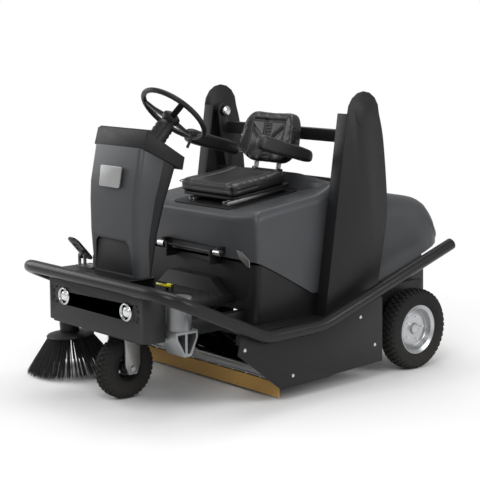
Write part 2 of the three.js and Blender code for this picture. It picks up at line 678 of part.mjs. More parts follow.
function frontAssembly() {
  const place = group(machine, 0, frontWheel.axleY, 0);
  const { legX, legThickness, legHalf, crownBottom, crownThickness } = fork;
  const crownTop = crownBottom + crownThickness;
  const outerX = legX + legThickness;
  const leg = slabX([
    [-legHalf * 0.55, frontWheel.radius - 26], [legHalf * 0.55, frontWheel.radius - 26], [legHalf, frontWheel.radius + 20],
    [legHalf, crownTop], [-legHalf, crownTop], [-legHalf, frontWheel.radius + 20],
  ], legX, outerX);
  put(place, 'steering_fork', join(
    leg, mirrored(leg), block(-outerX, outerX, -legHalf, legHalf, crownBottom, crownTop),
    barZ(head.spindle, crownTop - 1, head.top + 20, 0, 0),
    barX(frontWheel.bore, -outerX, outerX + 12, 0, frontWheel.radius),
    barX(19, outerX - 1, outerX + 11, 0, frontWheel.radius, 6),
  ), galvanised);
  put(place, 'wheel_motor', join(
    barX(46, -outerX - 34, -outerX - GAP, 0, frontWheel.radius, 24),
    barX(30, -outerX - 58, -outerX - 33, 0, frontWheel.radius),
  ), castMetal);
  const wheel = group(place, 0, 0, frontWheel.radius);
  put(wheel, 'front_tyre', tyre(frontWheel.radius, frontWheel.width, frontWheel.rimRadius), rubber);
  put(wheel, 'front_rim', rim(frontWheel.rimRadius, frontWheel.width, frontWheel.bore), blackPaint);
}

function pumpUnit() {
  const { x, y, radius, bottom, top, bracketBottom } = pump;
  const can = barZ(radius, bottom - 1, top, x, y, 24);
  const bracket = slabX([
    [y - 64, bottom], [y - 64, bottom - 34], [y - 18, bracketBottom], [y + 24, bracketBottom], [y + 64, bottom - 34],
    [y + 64, bottom],
  ], frame.railOuter + GAP, x + radius);
  const pocket = slabX([
    [y - 52, bottom - 14], [y - 50, bottom - 32], [y - 10, bracketBottom + 14], [y - 10, bottom - 14],
  ], x - 10, x + radius + 10);
  const pocketBack = slabX([
    [y + 4, bottom - 14], [y + 4, bracketBottom + 14], [y + 16, bracketBottom + 14], [y + 52, bottom - 34], [y + 52, bottom - 14],
  ], x - 10, x + radius + 10);
  put(machine, 'hydraulic_pump', join(cut(bracket, pocket, pocketBack), can), castMetal);
}

const drivePedal = { x: -285, y: -772, z: 652, standHalf: 22 };
const brakePedal = { x: -210, y: -745, z: 652, standHalf: 11 };
const flapPedal = { x: 10, y: -470, z: 506, standHalf: 20 };

/** Two cheeks and the pin between them, which stand on `floor`. */
function pedalStand({ x, y, z, standHalf }, floor, pin) {
  const cheek = (side) => block(x + side * standHalf - 3, x + side * standHalf + 3, y - 8, y + 8, floor, z + 7);
  return join(cheek(-1), cheek(1), barX(pin, x - standHalf, x + standHalf, y, z));
}

function pedalBracket() {
  const floor = frontDeck.top + GAP;
  const base = block(drivePedal.x - 30, brakePedal.x + 20, drivePedal.y - 18, brakePedal.y + 18, floor, floor + 5);
  return join(pedalStand(drivePedal, floor + 1, 8), pedalStand(brakePedal, floor + 1, 8), base);
}

function flapPedalStand() {
  return pedalStand(flapPedal, footDeck.top - 1, 7);
}

/** Pedals are drawn about their pivots, which run along X. */
function pedals() {
  const drive = group(machine, drivePedal.x, drivePedal.y, drivePedal.z);
  const treadAngle = radians(48);
  const tread = slabZ(roundedRectangle(-42, -110, 42, 44, 30), 12, 20, 4);
  const slots = [-62, -32, -2].map((y) => slabZ(roundedRectangle(-24, y - 5, 24, y + 5, 4.9), 0, 30, 2));
  tread.rotateX(-treadAngle);
  slots.forEach((slot) => slot.rotateX(-treadAngle));
  const web = block(-12, 12, -12, 12, -11, 14).rotateX(-treadAngle);
  const bore = barX(holeFor(8), -60, 60, 0, 0);
  put(drive, 'drive_pedal', cut(join(tread, web), ...slots, bore), blackPlastic);

  const brake = group(machine, brakePedal.x, brakePedal.y, brakePedal.z);
  const arm = slabX([[-8, -8], [10, -8], [26, 62], [12, 70]], -5, 5);
  const pad = slabX([[2, 62], [38, 44], [44, 54], [8, 72]], -22, 22);
  put(brake, 'brake_pedal', cut(join(arm, pad, barX(14, -5, 5, 0, 0)), bore.clone()), blackPlastic);
  put(machine, 'pedal_bracket', pedalBracket(), galvanised);

  const dirt = group(machine, flapPedal.x, flapPedal.y, flapPedal.z);
  const plate = slabX([[-60, 10], [-15, 0], [-15, 8], [-56, 20]], -32, 32);
  const link = slabX([[-20, 0], [0, -8], [0, 8], [-20, 8]], -12, 12);
  const hub = barX(12, -14, 14, 0, 0);
  put(dirt, 'flap_pedal', cut(join(plate, link, hub), barX(holeFor(7), -60, 60, 0, 0)), signalYellow);
}

// ------------------------------------------------------------------------------------------------
// Brooms and seals
// ------------------------------------------------------------------------------------------------
function rollerBroom() {
  const pivot = group(machine, 0, broomArm.pivotY, broomArm.pivotZ);
  const dy = broom.axisY - broomArm.pivotY;
  const dz = broom.axisZ - broomArm.pivotZ;
  const { x, thickness } = broomArm;
  const arm = slabX([
    [-22, -14], [dy - 14, dz - 22], [dy + 22, dz - 12], [dy + 16, dz + 24], [14, 20], [-18, 16],
  ], x, x + thickness);
  const tie = barX(12, -x - 1, x + 1, 34, -26);
  const pin = barX(10, x - 1, x + thickness + 26, 0, 0);
  const shaftHole = barX(holeFor(broom.shaft), -x - 60, x + 60, dy, dz, 24);
  put(pivot, 'broom_arm_frame', cut(join(arm, mirrored(arm), tie, pin, mirrored(pin)), shaftHole), blackPaint);
  const roller = group(pivot, 0, dy, dz);
  put(roller, 'broom_core', join(
    barX(broom.core, -broom.half, broom.half, 0, 0),
    barX(broom.shaft, -x - thickness - 6, x + thickness + 6, 0, 0, 24),
  ), galvanised);
  const half = broom.half - 6;
  const bore = (broom.core + GAP) / Math.cos(Math.PI / BAR_SIDES);
  put(roller, 'broom_bristles', turned([
    [bore, -half], [broom.radius, -half], [broom.radius, half], [bore, half], [bore, -half],
  ], broom.sides).rotateY(Math.PI / 2), bristle);
}

function broomHanger() {
  const x = broomArm.x + broomArm.thickness;
  const y = broomArm.pivotY;
  const z = broomArm.pivotZ;
  const ear = block(x + 12, x + 20, y - 24, y + 24, z - 22, outrigger.top);
  const arm = block(x + 12, sill.inner - RUNNING, y - 20, y + 20, outrigger.top - 8, outrigger.top);
  return cut(join(ear, arm), barX(holeFor(10), x, x + 60, y, z));
}

function sideBrushUnit() {
  const { x, y, tilt, radius, discRadius, discHeight, discThickness, clearance, motorRadius, motorHeight } = sideBrush;
  const outward = new THREE.Vector3(1, -1, 0).normalize();
  const low = radius * Math.sin(radians(tilt)) + clearance;
  const carrier = group(machine, sideBrush.pivotX, y, sideBrush.pivotZ);
  const brush = group(carrier, x - sideBrush.pivotX, 0, low - sideBrush.pivotZ);
  brush.quaternion.setFromAxisAngle(outward, radians(tilt));
  put(brush, 'side_brush_disc', join(
    turned([[0, discHeight], [discRadius, discHeight], [discRadius, discHeight + 6],
      [discRadius * 0.5, discHeight + discThickness], [0, discHeight + discThickness]], 20),
    barZ(14, discHeight, discHeight + 40, 0, 0),
  ), blackPlastic);
  put(brush, 'side_brush_bristles', turned([
    [discRadius * 0.55, discHeight - GAP], [radius * 0.62, 0], [radius, 0], [discRadius * 0.97, discHeight - GAP],
    [discRadius * 0.55, discHeight - GAP],
  ], 28), bristle);
  const motorLow = discHeight + discThickness + RUNNING;
  const motorHigh = motorLow + motorHeight;
  const onArm = new THREE.Matrix4().compose(brush.position, brush.quaternion, new THREE.Vector3(1, 1, 1));
  const motor = cut(
    join(barZ(motorRadius, motorLow, motorHigh - 16, 0, 0), barZ(motorRadius - 12, motorHigh - 17, motorHigh, 0, 0)),
    barZ(holeFor(14), motorLow - 10, motorLow + 34, 0, 0),
  ).applyMatrix4(onArm);

  const plateLow = motorHigh - 4 + low - sideBrush.pivotZ;
  const reach = x - sideBrush.pivotX;
  const plate = slabZ(roundedRectangle(reach - 52, -34, 12, 34, 24), plateLow, plateLow + 8);
  const bore = barY(holeFor(8), -60, 60, 0, 0);
  put(carrier, 'side_brush_arm', cut(join(
    plate, motor, barY(15, -30, 30, 0, 0), block(-15, 10, -30, 30, Math.min(0, plateLow), Math.max(0, plateLow + 8)),
  ), bore), blackPaint);
}

/** Two ears under the right rail with the pin that the side brush swings on. */
function sideBrushHanger() {
  const { pivotX, y, pivotZ } = sideBrush;
  const ear = (side) => block(pivotX - 18, pivotX + 18, y + side * 36 - 4, y + side * 36 + 4, pivotZ - 16, frame.bottom + 1);
  return join(ear(1), ear(-1), barY(8, y - 38, y + 38, pivotX, pivotZ));
}

function frontFlap() {
  const { y, pivotZ, half, stripBottom, stripTop, stripThickness } = flap;
  const place = group(machine, 0, y, pivotZ);
  put(place, 'flap_holder', join(
    barX(8, -half - 20, half + 20, 0, 0),
    block(-half, half, -3, 3, stripTop - pivotZ - 26, 2),
    block(-half, half, -12, 3, stripTop - pivotZ + 8, stripTop - pivotZ + 14),
  ), galvanised);
  put(place, 'flap_strip', block(-half, half, -3 - GAP - stripThickness, -3 - GAP, stripBottom - pivotZ, stripTop - pivotZ), tanRubber);
}

function flapBearing() {
  const x0 = flap.half + 6;
  const plate = block(x0, x0 + 6, flap.y - 22, flap.y + 22, flap.pivotZ - 20, outrigger.bottom + 1);
  return cut(plate, barX(holeFor(8), x0 - 20, x0 + 40, flap.y, flap.pivotZ));
}

// ------------------------------------------------------------------------------------------------
// Engine bay
// ------------------------------------------------------------------------------------------------
const tray = { thickness: 6, frontY: -270, backY: 190 };

function engineTray() {
  return block(-frame.railOuter, frame.railOuter, tray.frontY, tray.backY, frame.top - 1, frame.top + tray.thickness);
}

function engineBay() {
  const deck = frame.top + tray.thickness + GAP;
  const fins = [];
  for (let k = 0; k < 5; k += 1) {
    fins.push(block(-70, 70, -96, 66, deck + 196 + k * 18, deck + 206 + k * 18));
  }
  put(machine, 'engine_block', join(
    block(-120, 120, -140, 110, deck, deck + 150), block(-60, 60, -86, 56, deck + 149, deck + 300),
    barX(92, -170, -119, -15, deck + 96), ...fins,
  ), castMetal);
  put(machine, 'muffler', join(
    barX(52, 150, 330, 60, deck + 250), barX(14, 118 + RUNNING, 151, 60, deck + 250),
    block(200, 280, 50, 70, deck, deck + 200),
  ), galvanised);
  put(machine, 'fuel_tank', slabZ(roundedRectangle(-345, -250, -190, 20, 16), deck, deck + 260), blackPlastic);
  put(machine, 'hydraulic_tank', slabZ(roundedRectangle(-345, 40, -190, 180, 16), deck, deck + 300), blackPaint);
  put(machine, 'battery', join(
    block(180, 340, -250, -90, deck, deck + 170), barZ(10, deck + 169, deck + 188, 210, -220),
    barZ(10, deck + 169, deck + 188, 310, -220),
  ), blackPlastic);
}

// ------------------------------------------------------------------------------------------------
// Hood with its hinge
// ------------------------------------------------------------------------------------------------
const hoodShoulder = [[-300, 868], [-262, 890], [127, 939], [220, 988]];
const hoodCrownHalf = [[-300, 262], [206, 226], [220, 180]];
const crownFront = { y: -259, z: 879 };
const ridge = { frontY: 206, topY: 212, z: 1018 };

/** The crown is parallel with the seat, and a ridge rises behind the seat. */
function crownHeight(y) {
  return crownFront.z + (y - crownFront.y) * Math.tan(radians(seat.tilt));
}

const hoodCrown = [
  [hood.frontY, 858], [crownFront.y, crownFront.z], [ridge.frontY, crownHeight(ridge.frontY)],
  [ridge.topY, ridge.z], [hood.backY, ridge.z],
];

/** The hood's section at one Y: side, shoulder, crown and back down the other side. */
function hoodRing(y, inset, drop) {
  const side = hood.half - inset;
  const shoulderHalf = hood.topHalf - inset;
  const shoulder = along(hoodShoulder, y) - inset;
  const crown = along(hoodCrown, y) - inset;
  const crownHalf = along(hoodCrownHalf, y) - inset * 0.5;
  const half = [
    [side, hood.sideLow - drop], [side, 700], [shoulderHalf, shoulder - 22], [shoulderHalf - 14, shoulder],
    [crownHalf, crown],
  ];
  const other = half.map(([x, z]) => [-x, z]).reverse();
  return [...half, ...other].map(([x, z]) => new THREE.Vector3(x, y, z));
}

function hoodShell() {
  const { frontY, backY, thickness, bottom, sideLow } = hood;
  const flat = (point) => new THREE.Vector2(point.x, point.z);
  const stations = [frontY, crownFront.y, -140, 0, ridge.frontY, ridge.topY, backY];
  const outer = loft(stations.map((y) => hoodRing(y, 0, 0)), flat);
  const innerStations = [
    frontY + thickness, crownFront.y + thickness, -140, 0, ridge.frontY + thickness, ridge.topY + thickness, backY + 20,
  ];
  const inner = loft(innerStations.map((y) => hoodRing(y, thickness, 60)), flat);
  const below = slabX([
    [frontY - 10, sideLow - 80], [60, sideLow - 80], [60, sideLow + 2], [-60, sideLow + 64], [frontY + 40, bottom - 24],
    [frontY + 30, bottom], [frontY - 10, bottom],
  ], -hood.half - 10, hood.half + 10);
  return cut(outer, inner, below);
}

function hoodAssembly() {
  const { y, z, rod, knuckle, knuckleX, knuckleLength, rodHalf } = hoodHinge;
  const pivot = group(machine, 0, y, z);
  const toPivot = (geometry) => geometry.translate(0, -y, -z);
  const striker = slabY([
    [312, 700], [352, 694], [404, 662], [404, 628], [392, 628], [330, 664],
  ], hood.frontY - 6, hood.frontY + 1);
  put(pivot, 'engine_hood', toPivot(join(hoodShell(), striker)), greyShell);
  const leaves = [-1, 1].flatMap((side) => {
    const x = side * knuckleX;
    return [
      barX(knuckle, x - knuckleLength / 2, x + knuckleLength / 2, 0, 0, 24),
      block(x - 14, x + 14, 0, hood.frontY - y - GAP, -6, 28),
    ];
  });
  const strap = block(-knuckleX, knuckleX, hood.frontY - y - GAP - 4, hood.frontY - y - GAP, 18, 28);
  const bore = barX(holeFor(rod), -rodHalf - 20, rodHalf + 20, 0, 0);
  put(pivot, 'hood_hinge_leaves', cut(join(strap, ...leaves), bore), brightSteel);
  const hinge = [-1, 1].flatMap((side) => [
    block(side * 168 - 6, side * 168 + 6, y - 12, wall.frontY - GAP, z - 60, z - 27),
    block(side * 168 - 6, side * 168 + 6, y - 12, y + 24, z - 40, z + 12),
  ]);
  put(machine, 'hood_hinge_rod', join(
    barX(rod, -rodHalf, rodHalf, y, z), ...hinge,
    block(-174, 174, wall.frontY - GAP - 6, wall.frontY - GAP, z - 60, z - 40),
  ), brightSteel);
  return pivot;
}

// ------------------------------------------------------------------------------------------------
// Seat, carried by the hood
// ------------------------------------------------------------------------------------------------
function seatAssembly(hoodPivot) {
  const seatZ = crownHeight(seat.frontY) + (seat.baseHeight + GAP) / Math.cos(radians(seat.tilt));
  const place = group(hoodPivot, 0, seat.frontY - hoodHinge.y, seatZ - hoodHinge.z);
  place.rotation.x = radians(seat.tilt);
  const { half, depth, thickness, baseHeight } = seat;
  const railX = 130;
  const rail = (x) => cut(
    block(x - 20, x + 20, 10, depth - 20, -baseHeight, -baseHeight + 20),
    block(x - 13, x + 13, 0, depth, -baseHeight + 5, -baseHeight + 30),
  );
  const tie = (y) => block(-railX, railX, y, y + 24, -baseHeight, -baseHeight + 4);
  put(place, 'seat_rails', join(rail(railX), rail(-railX), tie(30), tie(depth - 80)), galvanised);
  const slider = (x) => block(x - 12, x + 12, 120, depth - 30, -baseHeight + 6, -8);
  const bracketX = 95;
  const bracket = (x) => slabX([
    [depth - 70, -12], [backrest.pivotY + 14, -12], [backrest.pivotY + 18, backrest.pivotZ + 8],
    [backrest.pivotY - 10, backrest.pivotZ + 16], [backrest.pivotY - 20, backrest.pivotZ - 10], [depth - 26, 0],
  ], x - 4, x + 4);
  put(place, 'seat_base', join(
    slider(railX), slider(-railX), slabZ(roundedRectangle(-half + 20, 10, half - 20, depth - 14, 30), -14, -GAP),
    bracket(bracketX), bracket(-bracketX),
    barX(8, -bracketX - 14, bracketX + 14, backrest.pivotY, backrest.pivotZ),
  ), blackPaint);
  put(place, 'seat_cushion', slabZ(roundedRectangle(-half, 0, half, depth - 30, 50), 0, thickness), seatVinyl);

  const back = group(place, 0, backrest.pivotY, backrest.pivotZ);
  back.rotation.x = -radians(backrest.lean);
  const { bottom, height, thickness: deep } = backrest;
  const top = bottom + height;
  const face = outline([
    [-130, bottom], [130, bottom], [backrest.half + 20, bottom + 70], [backrest.half, top - 60], [155, top], [-155, top],
    [-backrest.half, top - 60], [-backrest.half - 20, bottom + 70],
  ]);
  const lug = (x) => slabX([[-12, -14], [12, -14], [10, bottom + 4], [-20, bottom + 4]], x - 4, x + 4);
  const lugX = bracketX - 12;
  put(back, 'seat_backrest', cut(
    join(
      lug(lugX), lug(-lugX), slabY(face, -deep / 2 - 10, deep / 2 - 10),
      barX(armrest.pin, -armrest.x - armrest.width + 6, armrest.x + armrest.width - 6, armrest.pivotY, armrest.pivotZ),
    ),
    barX(holeFor(8), -bracketX, bracketX, 0, 0),
  ), seatVinyl);

  for (const [name, side] of [['left', 1], ['right', -1]]) {
    const arm = group(back, side * armrest.x, armrest.pivotY, armrest.pivotZ);
    arm.rotation.x = -radians(armrest.raise);
    const form = roundedRectangle(-armrest.length, -armrest.height / 2, 20, armrest.height / 2, 16);
    const pad = cut(slabX(form, 0, armrest.width), barX(holeFor(armrest.pin), -10, armrest.width + 10, 0, 0));
    put(arm, `armrest_${name}`, side > 0 ? pad : mirrored(pad), seatVinyl);
  }
}

// ------------------------------------------------------------------------------------------------
// Hopper on its lift frame
// ------------------------------------------------------------------------------------------------
const hopperTop = [[445, 926], [549, 913], [721, 890], [819, 868], [901, 808], [949, 744], [990, 650]];
const hopperLow = [[445, 452], [990, 626]];
const hopperHalf = [[445, 474], [860, 474], [925, 464], [990, 430]];

function hopperRing(y, inset, drop) {
  const half = along(hopperHalf, y) - inset;
  const top = along(hopperTop, y) - inset;
  const low = along(hopperLow, y) - drop;
  const round = Math.min(64, (top - low) * 0.45);
  const ring = [[half, low]];
  for (let k = 0; k <= 4; k += 1) {
    const angle = (k / 4) * (Math.PI / 2);
    ring.push([half - round + round * Math.cos(angle), top - round + round * Math.sin(angle)]);
  }
  const other = ring.map(([x, z]) => [-x, z]).reverse();
  return [...ring, ...other].map(([x, z]) => new THREE.Vector3(x, y, z));
}

function hopperShell() {
  const flat = (point) => new THREE.Vector2(point.x, point.z);
  const stations = [hopper.frontY, 549, 640, 721, 780, 819, 862, 901, 949, 990];
  const outer = loft(stations.map((y) => hopperRing(y, 0, 0)), flat);
  const innerStations = [hopper.frontY - 20, 549, 640, 721, 780, 819, 862, 895, 940, 980];
  const inner = loft(innerStations.map((y) => hopperRing(y, hopper.thickness, 60)), flat);
  return cut(outer, inner);
}

function hopperBin() {
  const { binFrontY, binHalf, wall: thick } = hopper;
  const frontY = binFrontY + GAP;
  const outer = slabX([
    [frontY, 130], [560, 130], [905, 345], [900, 500], [830, 780], [frontY + 12, 860], [frontY, 860],
  ], -binHalf, binHalf);
  const inner = slabX([
    [frontY + thick, 130 + thick], [559, 130 + thick], [905 - thick - 1, 348], [900 - thick, 500], [830 - thick, 776],
    [830 - thick, 900], [frontY + thick, 900],
  ], -binHalf + thick, binHalf - thick);
  const inlet = block(-binHalf + 30, binHalf - 30, frontY - 20, frontY + 20, 150, 292);
  return cut(outer, inner, inlet);
}

function liftFrame() {
  const { pivotY, pivotZ, pin, boss, armInner, armOuter } = lift;
  const arm = slabX([
    [pivotY - boss, pivotZ], [pivotY - 30, 1180], [332, 900], [394, 706], [462, 706], [466, 905], [392, 1180],
    [pivotY + boss, pivotZ],
  ], armInner, armOuter);
  const eye = barX(boss, armInner, armOuter, pivotY, pivotZ, 24);
  const pad = block(hopper.half + GAP, armInner + 1, hopper.frontY + 3, hopper.frontY + 15, 730, 860);
  const bar = block(
    -armInner - 1, armInner + 1, crossbar.y - crossbar.width / 2, crossbar.y + crossbar.width / 2,
    crossbar.z - crossbar.height / 2, crossbar.z + crossbar.height / 2,
  );
  const hole = barX(holeFor(pin), -600, 600, pivotY, pivotZ);
  return cut(join(arm, mirrored(arm), eye, mirrored(eye), pad, mirrored(pad), bar), hole);
}

function hopperAssembly() {
  const pivot = group(machine, 0, lift.pivotY, lift.pivotZ);
  const toPivot = (geometry) => geometry.translate(0, -lift.pivotY, -lift.pivotZ);
  put(pivot, 'lift_frame', toPivot(liftFrame()), blackPaint);
  put(pivot, 'hopper_shell', toPivot(hopperShell()), greyShell);
  put(pivot, 'hopper_bin', toPivot(hopperBin()), blackPaint);
  put(pivot, 'dust_filter', toPivot(block(-360, 360, 480, 760, 620, 760)), tanRubber);
}

// ------------------------------------------------------------------------------------------------
// The machine
// ------------------------------------------------------------------------------------------------
put(machine, 'chassis_frame', chassisFrame(), blackPaint);
put(machine, 'bumper_tube', bumperTube(), blackPaint);
put(machine, 'front_panel', frontPanelShell(), blackPaint);
headlight(1);
headlight(-1);
put(machine, 'foot_deck', join(footDeckPlate(), frontDeckSheet(), flapPedalStand()), blackPaint);
put(machine, 'body_wall', bodyWall(), blackPaint);
putPair(machine, 'skirt', skirtPlate(), blackPaint);
putPair(machine, 'tower', towerShell(), blackPaint);
put(machine, 'rear_cover', rearCoverSheet(), blackPaint);
consoleShells();
put(machine, 'dash_cap', dashCap(), blackPlastic);
put(machine, 'steering_column', steeringColumn(), blackPlastic);
put(steeringGroup(machine), 'steering_wheel', steeringWheel(), blackPlastic);
controls();
rearWheels();
frontAssembly();
pumpUnit();
pedals();
rollerBroom();
sideBrushUnit();
frontFlap();
engineBay();
const hoodPivot = hoodAssembly();
seatAssembly(hoodPivot);
hopperAssembly();

// The origin goes to the middle of the footprint, at floor level.
const machineBox = new THREE.Box3().setFromObject(machine, true);
machine.position.set(-(machineBox.min.x + machineBox.max.x) / 2, -(machineBox.min.y + machineBox.max.y) / 2, 0);
const model = new THREE.Group();
model.add(machine);

export default model;
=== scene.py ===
import logging
import math
from dataclasses import dataclass
from enum import Enum
from typing import Callable, Sequence

import bmesh
import bpy
from mathutils import Matrix, Vector


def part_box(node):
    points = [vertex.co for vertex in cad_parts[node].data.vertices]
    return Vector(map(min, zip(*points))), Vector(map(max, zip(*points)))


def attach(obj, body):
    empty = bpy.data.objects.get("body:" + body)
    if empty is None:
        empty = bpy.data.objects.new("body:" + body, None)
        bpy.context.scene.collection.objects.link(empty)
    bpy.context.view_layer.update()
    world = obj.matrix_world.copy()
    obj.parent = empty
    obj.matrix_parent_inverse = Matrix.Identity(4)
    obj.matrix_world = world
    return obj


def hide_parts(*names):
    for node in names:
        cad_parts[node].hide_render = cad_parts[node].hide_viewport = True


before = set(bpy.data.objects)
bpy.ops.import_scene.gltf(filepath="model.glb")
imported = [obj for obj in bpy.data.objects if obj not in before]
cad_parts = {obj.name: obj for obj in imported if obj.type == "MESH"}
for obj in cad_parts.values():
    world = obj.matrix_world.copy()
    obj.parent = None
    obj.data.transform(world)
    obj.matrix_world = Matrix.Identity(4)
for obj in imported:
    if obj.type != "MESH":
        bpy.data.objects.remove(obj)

logging.basicConfig(level=logging.INFO, format="%(message)s")
LOG = logging.getLogger("sweeper")
MM = 0.001
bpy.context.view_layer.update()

Point = tuple[float, float, float]
Pair = tuple[float, float]


# ----------------------------------------------------------------------------------------------
# Places: the machine's own millimetres and the frame's metres
# ----------------------------------------------------------------------------------------------
def machine_origin() -> Vector:
    """Where the machine's own origin, between the skirts and on the floor, lies in the frame.

    Returns:
        The point in metres.
    """
    cap_low, cap_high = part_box("dash_cap")
    tyre_low, tyre_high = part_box("rear_tyre_left")
    return Vector(((cap_low.x + cap_high.x) / 2, (tyre_low.y + tyre_high.y) / 2 - 0.716, 0.0))


ORIGIN = machine_origin()


def spot(x: float, y: float, z: float) -> Vector:
    """A point in the machine's millimetres as a point in the frame.

    Args:
        x: Millimetres towards the machine's left.
        y: Millimetres towards its back.
        z: Millimetres above the floor.

    Returns:
        The point in metres.
    """
    return Vector((x, y, z)) * MM + ORIGIN


def seating(x: float, y: float, z: float, turn_x: float = 0.0) -> Matrix:
    """A local frame in millimetres, turned about X, at a point of the machine.

    Args:
        x: Millimetres towards the machine's left.
        y: Millimetres towards its back.
        z: Millimetres above the floor.
        turn_x: Degrees about X.

    Returns:
        The matrix from local millimetres to the frame's metres.
    """
    turn = Matrix.Rotation(math.radians(turn_x), 4, "X")
    return Matrix.Translation(spot(x, y, z)) @ turn @ Matrix.Scale(MM, 4)


def along(pairs: Sequence[Pair], key: float) -> float:
    """The value at a key on a line through pairs in rising order.

    Args:
        pairs: The corners of the line as (key, value).
        key: Where to read it.

    Returns:
        The value, carried on past both ends.
    """
    k = 0
    while k < len(pairs) - 2 and key > pairs[k + 1][0]:
        k += 1
    (k0, v0), (k1, v1) = pairs[k], pairs[k + 1]
    return v0 + (v1 - v0) * (key - k0) / (k1 - k0)


# ----------------------------------------------------------------------------------------------
# Finishes
# ----------------------------------------------------------------------------------------------
class Grain(Enum):
    """The fine surface of a finish."""

    POLISHED = "polished"
    PAINTED = "painted"
    MOULDED = "moulded"
    LEATHER = "leather"
    CAST = "cast"
    BRUSHED = "brushed"
    RUBBER = "rubber"


@dataclass(frozen=True)
class Finish:
    """One finish of the machine, as a procedural material.

    Args:
        name: The material's name.
        slot: A material slot's name; not used.
        color: Linear base colour.
        roughness: Middle roughness.
        metallic: 0 or 1.
        grain: The fine surface.
        grain_scale: Grains per metre.
        grain_depth: Strength of the grain.
        tint_spread: Share by which the colour varies.
        coat: Clear coat weight.
        dust: How much floor dust lies on the lowest parts.
        shine: Specular level of its clear face.
    """

    name: str
    slot: str
    color: Point
    roughness: float
    metallic: float = 0.0
    grain: Grain = Grain.MOULDED
    grain_scale: float = 700.0
    grain_depth: float = 0.12
    tint_spread: float = 0.12
    coat: float = 0.0
    dust: float = 0.0
    shine: float = 0.25

    def material(self) -> bpy.types.Material:
        """The material, made once.

        Returns:
            The material.
        """
        found = bpy.data.materials.get(self.name)
        if found:
            return found
        made = bpy.data.materials.new(self.name)
        made.use_nodes = True
        nodes, links = made.node_tree.nodes, made.node_tree.links
        shader = nodes["Principled BSDF"]
        place = nodes.new("ShaderNodeTexCoord")
        shader.inputs["Metallic"].default_value = self.metallic
        shader.inputs["Coat Weight"].default_value = self.coat
        shader.inputs["Specular IOR Level"].default_value = self.shine
        shader.inputs["Coat Roughness"].default_value = 0.12

        cloud = nodes.new("ShaderNodeTexNoise")
        cloud.inputs["Scale"].default_value = 7.0
        cloud.inputs["Detail"].default_value = 5.0
        links.new(place.outputs["Object"], cloud.inputs["Vector"])
        tint = nodes.new("ShaderNodeMix")
        tint.data_type = "RGBA"
        low = [c * (1 - self.tint_spread) for c in self.color]
        high = [min(1.0, c * (1 + self.tint_spread)) for c in self.color]
        tint.inputs["A"].default_value = (*low, 1.0)
        tint.inputs["B"].default_value = (*high, 1.0)
        links.new(cloud.outputs["Fac"], tint.inputs["Factor"])
        links.new(self._dusted(nodes, links, place, tint.outputs["Result"]), shader.inputs["Base Color"])

        smear = nodes.new("ShaderNodeTexNoise")
        smear.inputs["Scale"].default_value = 26.0
        smear.inputs["Detail"].default_value = 6.0
        links.new(place.outputs["Object"], smear.inputs["Vector"])
        gloss = nodes.new("ShaderNodeMapRange")
        gloss.inputs["To Min"].default_value = max(0.03, self.roughness - 0.07)
        gloss.inputs["To Max"].default_value = min(1.0, self.roughness + 0.07)
        links.new(smear.outputs["Fac"], gloss.inputs["Value"])
        links.new(gloss.outputs["Result"], shader.inputs["Roughness"])
        if self.grain is not Grain.POLISHED:
            links.new(self._bump(nodes, links, place), shader.inputs["Normal"])
        return made

    def _dusted(self, nodes: bpy.types.Nodes, links: bpy.types.NodeLinks, place: bpy.types.Node,
                color: bpy.types.NodeSocket) -> bpy.types.NodeSocket:
        """Adds pale dust that thins out upwards from the floor.

        Args:
            nodes: The material's nodes.
            links: Its links.
            place: Its texture coordinate node.
            color: The clean colour.

        Returns:
            The colour socket to use.
        """
        if self.dust <= 0:
            return color
        split = nodes.new("ShaderNodeSeparateXYZ")
        links.new(place.outputs["Object"], split.inputs["Vector"])
        height = nodes.new("ShaderNodeMapRange")
        height.inputs["From Min"].default_value = 0.0
        height.inputs["From Max"].default_value = 0.35
        height.inputs["To Min"].default_value = self.dust
        height.inputs["To Max"].default_value = 0.0
        links.new(split.outputs["Z"], height.inputs["Value"])
        speck = nodes.new("ShaderNodeTexNoise")
        speck.inputs["Scale"].default_value = 60.0
        speck.inputs["Detail"].default_value = 8.0
        links.new(place.outputs["Object"], speck.inputs["Vector"])
        amount = nodes.new("ShaderNodeMath")
        amount.operation = "MULTIPLY"
        links.new(height.outputs["Result"], amount.inputs[0])
        links.new(speck.outputs["Fac"], amount.inputs[1])
        over = nodes.new("ShaderNodeMix")
        over.data_type = "RGBA"
        over.inputs["B"].default_value = (0.16, 0.145, 0.125, 1.0)
        links.new(amount.outputs["Value"], over.inputs["Factor"])
        links.new(color, over.inputs["A"])
        return over.outputs["Result"]

    def _bump(self, nodes: bpy.types.Nodes, links: bpy.types.NodeLinks,
              place: bpy.types.Node) -> bpy.types.NodeSocket:
        """The grain as a bump.

        Args:
            nodes: The material's nodes.
            links: Its links.
            place: Its texture coordinate node.

        Returns:
            The normal socket.
        """
        source = place.outputs["Object"]
        if self.grain is Grain.BRUSHED:
            stretch = nodes.new("ShaderNodeMapping")
            stretch.inputs["Scale"].default_value = (1.0, 1.0, 0.06)
            links.new(source, stretch.inputs["Vector"])
            source = stretch.outputs["Vector"]
        if self.grain is Grain.LEATHER:
            cells = nodes.new("ShaderNodeTexVoronoi")
            cells.feature = "SMOOTH_F1"
            out = cells.outputs["Distance"]
        else:
            cells = nodes.new("ShaderNodeTexNoise")
            cells.inputs["Detail"].default_value = 3.0 if self.grain is Grain.PAINTED else 6.0
            out = cells.outputs["Fac"]
        cells.inputs["Scale"].default_value = self.grain_scale
        links.new(source, cells.inputs["Vector"])
        bump = nodes.new("ShaderNodeBump")
        bump.inputs["Strength"].default_value = self.grain_depth
        bump.inputs["Distance"].default_value = 0.0006
        links.new(out, bump.inputs["Height"])
        return bump.outputs["Normal"]


